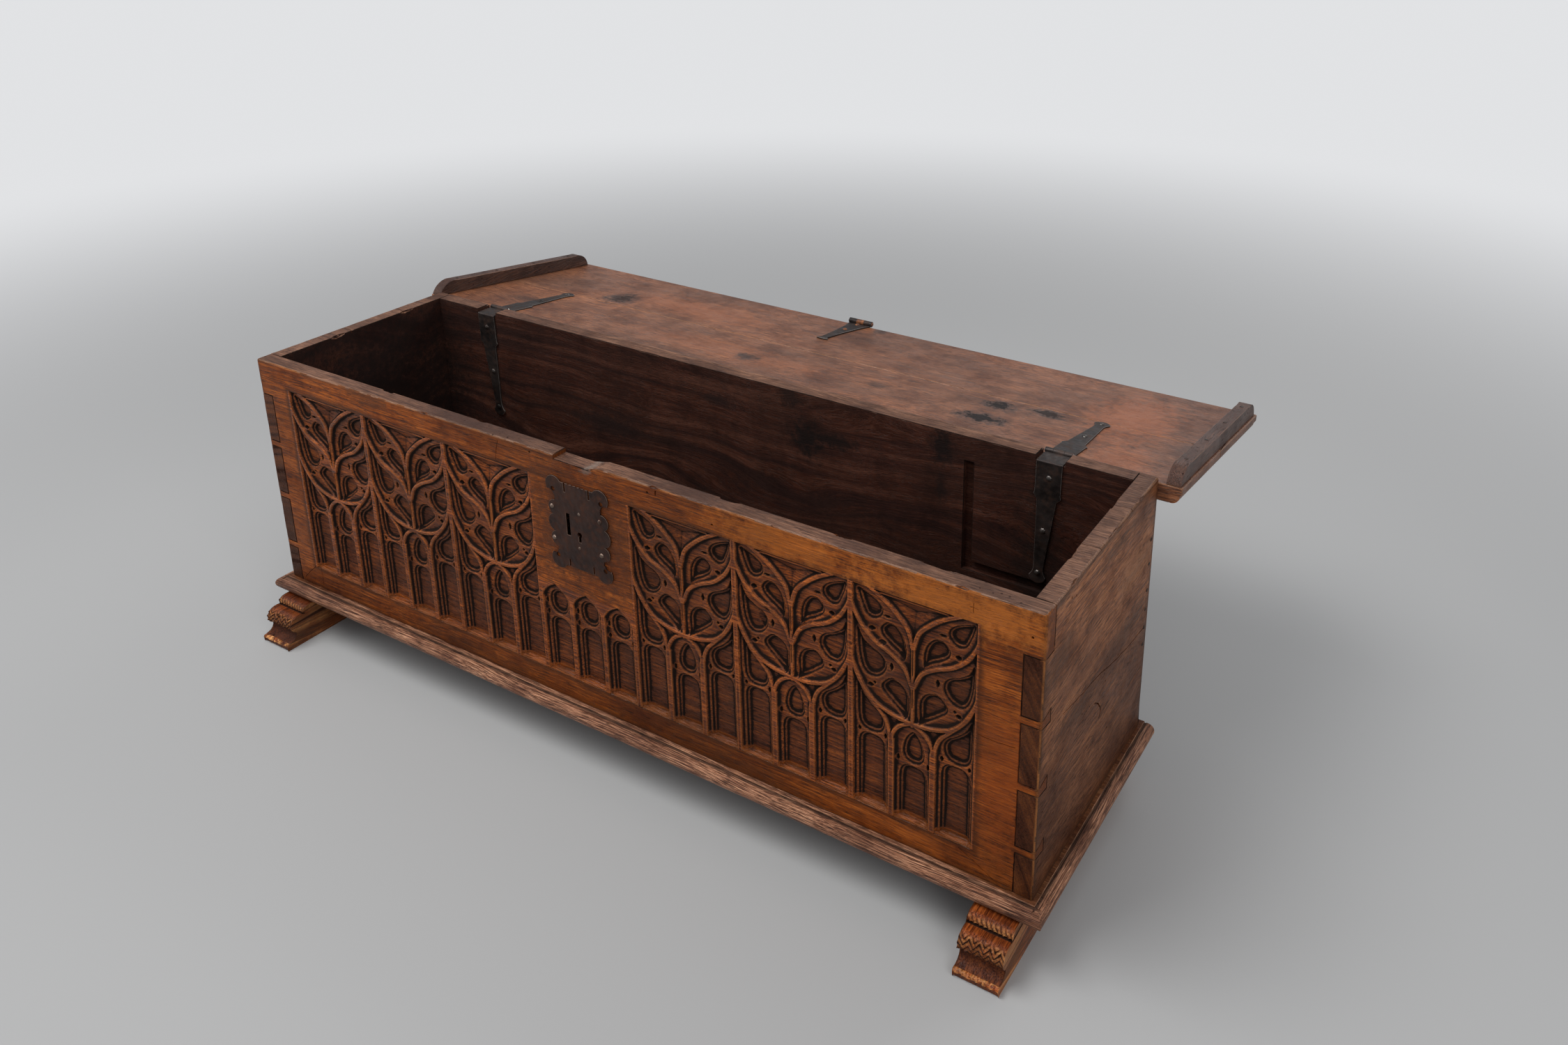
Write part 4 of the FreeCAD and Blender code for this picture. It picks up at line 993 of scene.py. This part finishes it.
# bruises of the rim: x, y, and half sizes
frontBites = ((-443, -357, 16, 4, 3), (-330, -384, 14, 4, 3), (-226, -357, 11, 3, 3),
              (143, -384, 12, 4, 3), (256, -357, 18, 4, 4), (352, -384, 9, 3, 2),
              (445, -357, 14, 4, 4), (589, -357, 24, 4, 3), (636, -384, 12, 4, 3))
sideBites = ((721, -243, 5, 15, 5), (751, -300, 4, 12, 4), (751, -165, 4, 18, 3),
             (721, -92, 4, 16, 4), (751, -60, 4, 9, 3))
frontCutters = [pocket] \
    + [biteCutter("frontBite", (x, y, rimHeight / mm), (a, b, c)) for x, y, a, b, c in frontBites] \
    + [crackCutter(name, [(x, frontFace / mm, z) for x, z in line], width, depth, (0, 1, 0))
       for name, line, width, depth in frontCracks] \
    + [holeCutter("frontHole", (x, frontFace / mm, z), radius, 7.0, (0, 1, 0))
       for x, z, radius in frontHoles]


def sideCutters(sign):
    edge = boardHigh[0] / mm * sign
    return [crackCutter(name, [(edge, y, z) for y, z in line], width, depth, (-sign, 0, 0))
            for name, line, width, depth in sideCracks] \
        + [holeCutter("sideHole", (edge, y, z), radius, 7.0, (-sign, 0, 0))
           for y, z, radius in sideHoles] \
        + [biteCutter("sideBite", (x * sign, y, rimHeight / mm), (a, b, c))
           for x, y, a, b, c in sideBites] \
        + [crackCutter("rimCrack", [(edge - sign * 30, y, rimHeight / mm),
                                    (edge, y + 3, rimHeight / mm)], 1.0, 5.0, (0, 0, -1))
           for y in (-214, -97)]


runnerShape = {
    "toe": 77.0, "top": 68.5, "round": 1.6,
    "gougePitch": 7.4, "gougeDepth": 2.8, "chevron": 15.0, "lean": 1.15,
    "beadPitch": 7.0, "beadDepth": 1.8, "chips": 2.4, "uneven": 0.25,
    "gougeTop": 13.4, "gougeFoot": 38, "beadTop": 1.5, "coveDirtAndShade": 0.45, "flankDirtAndShade": 0.35}


def runnerProfile():
    # the toe's outline from the top to the floor: reach in front of the box, height, and what
    # is cut there
    toe, top = runnerShape["toe"], runnerShape["top"]
    arcs = (                     # back from the toe's tip and down from the top
        (((55, 0), (47, 0.6), (41.5, 3), (39.5, 6), (39.2, 10)), "bead", 12),
        (((39.2, 10), (42.5, 12.0)), "", 2),
        (((42.5, 12.0), (36, 12.8)), "", 4),
        (((36, 12.8), (26, 12.6), (17.5, 16.5), (13.0, 25), (14.5, 34), (19.5, 39.0)), "torus",
         12),
        (((19.5, 39.0), (21.5, 41.0)), "", 2),
        (((21.5, 41.0), (19.5, 48), (14.0, 54), (5, 57.5)), "cove", 9),
        (((5, 57.5), (1.0, 58.8), (0, 61.5)), "arris", 4),
        (((0, 61.5), (0.5, 67), (2.5, 68.5)), "", 6))
    outline = []
    for points, kind, steps in arcs:
        line = throughPoints([(toe - back, top - down) for back, down in points], steps=steps)
        outline += [(p, z, kind) for p, z in line[:-1]]
    return outline + [(toe - 2.5, 0.0, "")]


def carveRunner(word, sign):
    low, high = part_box(word + "_runner")
    shape = runnerShape
    outline = [(frontFace / mm - p, z, kind) for p, z, kind in runnerProfile()]
    back, top = high[1] / mm, shape["top"]
    outline += [(y, 0.0, "") for y in np.linspace(outline[-1][0] + 12, back - 3, 34)]
    outline += [(back - 1, 0.6, ""), (back, 3.0, "")]
    outline += [(back, z, "") for z in np.linspace(14, top - 4, 5)] + [(back - 1.5, top, "")]
    outline += [(y, top, "") for y in np.linspace(back - 14, outline[0][0] + 9, 34)]
    spots = np.array([(y, z) for y, z, _ in outline])
    around = np.roll(spots, -1, 0) - np.roll(spots, 1, 0)
    turned = np.stack([-around[:, 1], around[:, 0]], 1)
    turned /= np.linalg.norm(turned, axis=1)[:, None]
    # known fault: the point tested lies in the toe's hollow, so these come out pointing inwards,
    # and the gouge work and the edges stand proud of the outline
    if (turned[len(outline) // 2] @ np.array((0, -1))) < 0:
        turned = -turned
    run = np.concatenate([[0], np.cumsum(np.linalg.norm(np.diff(spots, axis=0), axis=1))])
    width = (high[0] - low[0]) / mm
    columns = [0, 0.35, 0.9, 1.7, 2.8] + list(np.arange(3.9, width - 3.5, 0.95))
    columns += [width - 2.8, width - 1.7, width - 0.9, width - 0.35, width]
    bm = bmesh.new()
    wearAndHighlightLayer = bm.verts.layers.float.new("wornAndHighlitEdge")
    dirtAndShadeLayer = bm.verts.layers.float.new("dirt")
    outlineLayer = bm.verts.layers.int.new("outline")
    ring = [bm.verts.new((0, y, z)) for y, z in spots]
    for k, vert in enumerate(ring):
        vert[outlineLayer] = k
    edges = [bm.edges.new(pair) for pair in zip(ring, ring[1:] + ring[:1])]
    for near, far in zip(columns[:-1], columns[1:]):
        made = bmesh.ops.extrude_edge_only(bm, edges=edges)["geom"]
        edges = rimOf(made)
        bmesh.ops.translate(bm, vec=(far - near, 0, 0), verts=vertsOf(made))
    bmesh.ops.holes_fill(bm, edges=[e for e in bm.edges if e.is_boundary], sides=0)
    for vert in bm.verts:
        across, k = vert.co.x, vert[outlineLayer]
        y, z, kind = outline[k]
        edge = min(across, width - across)
        inset = shape["round"] - math.sqrt(max(0, shape["round"] ** 2
                                               - max(0, shape["round"] - edge) ** 2))
        spot = Vector((across * 0.09 + sign * 3, y * 0.09, z * 0.09))
        rough = noise.noise(spot * 1.6) * 0.5 + noise.noise(spot * 5.0) * 0.5
        sink, worn, grimeAndShade = inset + abs(rough) * shape["uneven"], 0.0, 0.0
        # the ridges between gouges and the chipped lower arris get wear and a painted highlight;
        # the gouges and the cove get dirt and painted shade
        if kind == "torus":
            bend = abs(((across / shape["chevron"]) % 1) - 0.5) * shape["chevron"]
            phase = (run[k] + shape["lean"] * bend + rough * 2.2) / shape["gougePitch"]
            cut = max(0.0, math.sin(2 * math.pi * phase)) ** 0.8
            fade = max(0.0, min(1.0, (top - shape["gougeTop"] - z) / 3,
                                (z - top + shape["gougeFoot"]) / 5))
            sink += cut * shape["gougeDepth"] * fade * (0.7 + rough)
            worn, grimeAndShade = fade * (1 - cut) * (0.5 + rough), cut * fade * 0.9
        elif kind == "bead":
            cut = max(0.0, math.sin(2 * math.pi * (across + z * 0.8 + rough * 2)
                                    / shape["beadPitch"])) ** 1.2
            fade = max(0.0, min(1.0, (top - shape["beadTop"] - z) / 3))
            sink += cut * shape["beadDepth"] * fade
            worn, grimeAndShade = fade * (1 - cut) * (0.6 + rough), cut * fade * 0.6
        elif kind == "arris":
            sink += max(0.0, rough + 0.25) * shape["chips"]
            worn = max(0.0, min(1.0, 0.5 + rough * 4.0))
        elif kind == "cove":
            sink += abs(rough) * 0.5
            grimeAndShade = shape["coveDirtAndShade"]
        # the undercuts of the toe get dirt and painted shade
        elif 0 < z < top - 5 and y < frontFace / mm - 5:
            grimeAndShade = 0.9 if z > 20 else 0.3
        isFlank = edge == 0           # the flanks get no wear, and an even dirt and painted shade
        rubbedAndHighlit = max(worn, min(1.0, inset * 1.2) * (0.2 + max(0.0, rough)))
        vert[wearAndHighlightLayer] = 0.0 if isFlank else rubbedAndHighlit
        vert[dirtAndShadeLayer] = shape["flankDirtAndShade"] if isFlank else grimeAndShade
        place = spots[k] - turned[k] * sink
        vert.co = (low[0] + across * mm, place[0] * mm, max(place[1], 0) * mm)
    bmesh.ops.recalc_face_normals(bm, faces=bm.faces)
    shadeByAngle(bm, limit=40)
    piece = toObject(bm, word + "Runner")
    return settle(piece, "box", "runner_wood", runnerWood, word + "_runner")


facing = 0.7                          # how squarely a face looks one way to take a finish
joint = {"rim": 0.02, "backRim": 0.03, "end": 0.004, "inner": 0.02, "mould": 0.0015}
quirk = {"near": 5.0, "far": 9.5, "below": 0.8, "dirt": 0.55}


def grimeAndShadeInQuirk(board):
    # dirt and painted shade lie in the groove beside the wall
    dirt = board.data.attributes["dirt"].data
    for vert in board.data.vertices:
        away = max(abs(vert.co.x) - boardHigh[0], frontFace - vert.co.y) / mm
        if quirk["near"] < away < quirk["far"] and vert.co.z < boxBottom - quirk["below"] * mm:
            dirt[vert.index].value = quirk["dirt"]


def dressRim(board, below):
    # the top edge, where hands have been
    dress(board, rimWood, lambda normal, middle: normal.z > facing
          and middle.z > rimHeight - below)


frontFrame = wearBoard("front_board", "frontFrame", "box", "front_wood", frontWood, 1.3, 0.4,
                       frontCutters, wide=outerArris, wideWidth=3.4)
dress(frontFrame, insideWood,
      lambda normal, middle: normal.y > facing and middle.y > frontInner - mm)
dressRim(frontFrame, joint["rim"])
backBoard = wearBoard("back_board", "backBoard", "box", "inside_wood", insideWood, 1.4, 1.0,
                      wide=outerArris, wideWidth=3.0)
dressRim(backBoard, joint["backRim"])
dress(backBoard, sideWood, lambda normal, middle: normal.y > facing)
for word, outward in (("left", -1), ("right", 1)):
    sideBoard = wearBoard(word + "_side_board", word + "SideBoard", "box", "side_wood", sideWood,
                          1.3, 0.4, sideCutters(outward), wide=outerArris, wideWidth=3.4)
    dress(sideBoard, insideWood, lambda normal, middle: normal.x * outward < -facing
          and abs(middle.x) < boardHigh[0] - joint["inner"])
    dress(sideBoard, endWood, lambda normal, middle: abs(normal.y) > facing
          and not frontFace + joint["end"] < middle.y < backFace - joint["end"])
    dressRim(sideBoard, joint["rim"])
    carveRunner(word, outward)
    wearBoard(word + "_lid_batten", word + "LidBatten", "lid", "lid_wood", battenWood, 1.5, 1.0)

mouldings = ["bottom_board_%d" % number for number in range(1, 6)] + ["bottom_corner_patch"]
for nodeName in mouldings:
    words = nodeName.split("_")
    board = wearBoard(nodeName, words[0] + "".join(w.capitalize() for w in words[1:]), "box",
                      "bottom_wood", bottomWood, 0.7, 0.4)
    grimeAndShadeInQuirk(board)
    dress(board, mouldSideWood,
          lambda normal, middle: abs(middle.x) > boardHigh[0] + joint["mould"])
    dress(board, mouldWood, lambda normal, middle: middle.y < frontFace - joint["mould"])
for word in ("Back", "Front"):
    wearBoard("lid_%s_plank" % word.lower(), "lid%sPlank" % word, "lid", "lid_wood", lidWood,
              1.0, 1.0, wide=everyArris, wideWidth=2.2)
print("boards made")


# iron

def forge(nodeName, name, body, slot, finish, softness=0.5):
    piece = toObject(softenEdges(bmFromNode(nodeName), softness, 1.2), name)
    return settle(piece, body, slot, finish, nodeName)


for word in ("left", "right"):
    forge(word + "_hinge_strap", word + "HingeStrap", "box", "hinge_iron", hingeIron)
    forge(word + "_lid_leaf", word + "LidLeaf", "lid", "hinge_iron", hingeIron)
forge("lock_plate", "lockPlate", "box", "plate_iron", lockPlateIron, 0.4)
forge("hasp_strap", "haspStrap", "lid", "hasp_iron", hingeIron)
forge("hasp", "haspLeaf", "hasp", "hasp_iron", rustyIron)
forge("hasp_staple", "haspStaple", "hasp", "hasp_iron", rustyIron)

plainFinishes = {
    "left_hinge_pin": brightIron, "right_hinge_pin": brightIron, "hasp_pin": rustyIron,
    "lock_bolt": lockPlateIron, "bolt_guides": lockPlateIron, "bolt_spring": lockPlateIron,
    "lock_cap": lockPlateIron, "lock_rivets": domedIron, "strap_nails": strapNail,
    "leaf_nails": strapNail, "hasp_strap_nails": rustyIron, "plate_nails": domedIron,
    "batten_nails": hingeIron, "corner_nails": hingeIron, "wall_nails": hingeIron,
    "runner_nails": hingeIron}
for nodeName, finish in plainFinishes.items():
    coat(nodes[nodeName], finish)
print("iron made")


# floor, light and camera

stage = {"size": 60.0, "floor": (0.385, 0.385, 0.382), "world": (0.93, 0.95, 1.0),
         "worldLevel": 0.36, "backdropLevel": 0.82, "floorRough": 0.6,
         "pale": 0.78, "paleColour": (0.97, 0.98, 1.0), "sweep": (1.5, 4.4),
         "aim": (0, 0, 0.35)}
bm = bmesh.new()
bmesh.ops.create_grid(bm, x_segments=1, y_segments=1, size=stage["size"] / 2)
floor = toObject(bm, "floor")
floorFinish, floorTree, floorShader = newFinish("paleFloor")
floorShader.inputs["Base Color"].default_value = (*stage["floor"], 1.0)
floorShader.inputs["Roughness"].default_value = stage["floorRough"]
# the floor runs out into a pale sweep, which only the camera and reflections see
floorRays = put(floorTree, "LightPath")
seen = calc("MAXIMUM", floorRays.outputs["Is Camera Ray"], floorRays.outputs["Is Glossy Ray"])
radius = vectorCalc("LENGTH", put(floorTree, "TexCoord").outputs["Object"])
sweep = falloff(radius, *stage["sweep"], 1.0, smooth=True)
pale = put(floorTree, "Emission", Color=(*stage["paleColour"], 1.0), Strength=stage["pale"])
mixed = put(floorTree, "MixShader", i0=times(seen, sweep),
            i1=floorShader.outputs[0], i2=pale.outputs[0])
floorTree.links.new(mixed.outputs[0], floorTree.nodes["Material Output"].inputs["Surface"])
floor.data.materials.append(floorFinish)

world = bpy.data.worlds.new("studio")
bpy.context.scene.world = world
world.use_nodes = True
worldTree = world.node_tree
background = worldTree.nodes["Background"]
background.inputs["Color"].default_value = (*stage["world"], 1.0)
rays = put(worldTree, "LightPath")
seen = calc("MAXIMUM", rays.outputs["Is Camera Ray"], rays.outputs["Is Transmission Ray"])
level = put(worldTree, "Mix", {"data_type": "FLOAT"}, i0=seen, i2=stage["worldLevel"],
            i3=stage["backdropLevel"])
worldTree.links.new(level.outputs[0], background.inputs["Strength"])

lamps = (
    {"name": "topLamp", "at": (-0.9, -1.0, 3.2), "size": (2.4, 1.6), "power": 78.0},
    {"name": "leftLamp", "at": (-3.4, -2.4, 2.2), "size": (1.8, 1.8), "power": 26.0},
    {"name": "rightLamp", "at": (3.2, -1.9, 2.3), "size": (1.8, 1.8), "power": 42.0},
    {"name": "backLamp", "at": (1.0, 3.0, 3.0), "size": (3.0, 2.0), "power": 46.0})
aim = Vector(stage["aim"])
for lamp in lamps:
    light = bpy.data.lights.new(lamp["name"], "AREA")
    light.shape = "RECTANGLE"
    light.size, light.size_y = lamp["size"]
    light.energy = lamp["power"]
    holder = bpy.data.objects.new(lamp["name"], light)
    holder.location = lamp["at"]
    holder.rotation_euler = (aim - holder.location).to_track_quat("-Z", "Y").to_euler()
    bpy.context.scene.collection.objects.link(holder)

view = {"picture": (2250, 1500), "sensor": 36.0, "focal": 1790.5, "axisAt": (1320.0, 385.0),
        "place": (1.2286, -1.5685, 1.3965), "turn": (1.24030, -0.01375, 0.51253)}
cameraData = bpy.data.cameras.new("camera")
cameraData.sensor_width = view["sensor"]
cameraData.lens = view["focal"] * view["sensor"] / view["picture"][0]
cameraData.shift_x = (view["picture"][0] / 2 - view["axisAt"][0]) / view["picture"][0]
cameraData.shift_y = (view["axisAt"][1] - view["picture"][1] / 2) / view["picture"][0]
camera = bpy.data.objects.new("camera", cameraData)
camera.location = view["place"]
camera.rotation_euler = Euler(view["turn"], "XYZ")
bpy.context.scene.collection.objects.link(camera)
bpy.context.scene.camera = camera
bpy.context.scene.view_settings.view_transform = "Standard"
print("stage set")
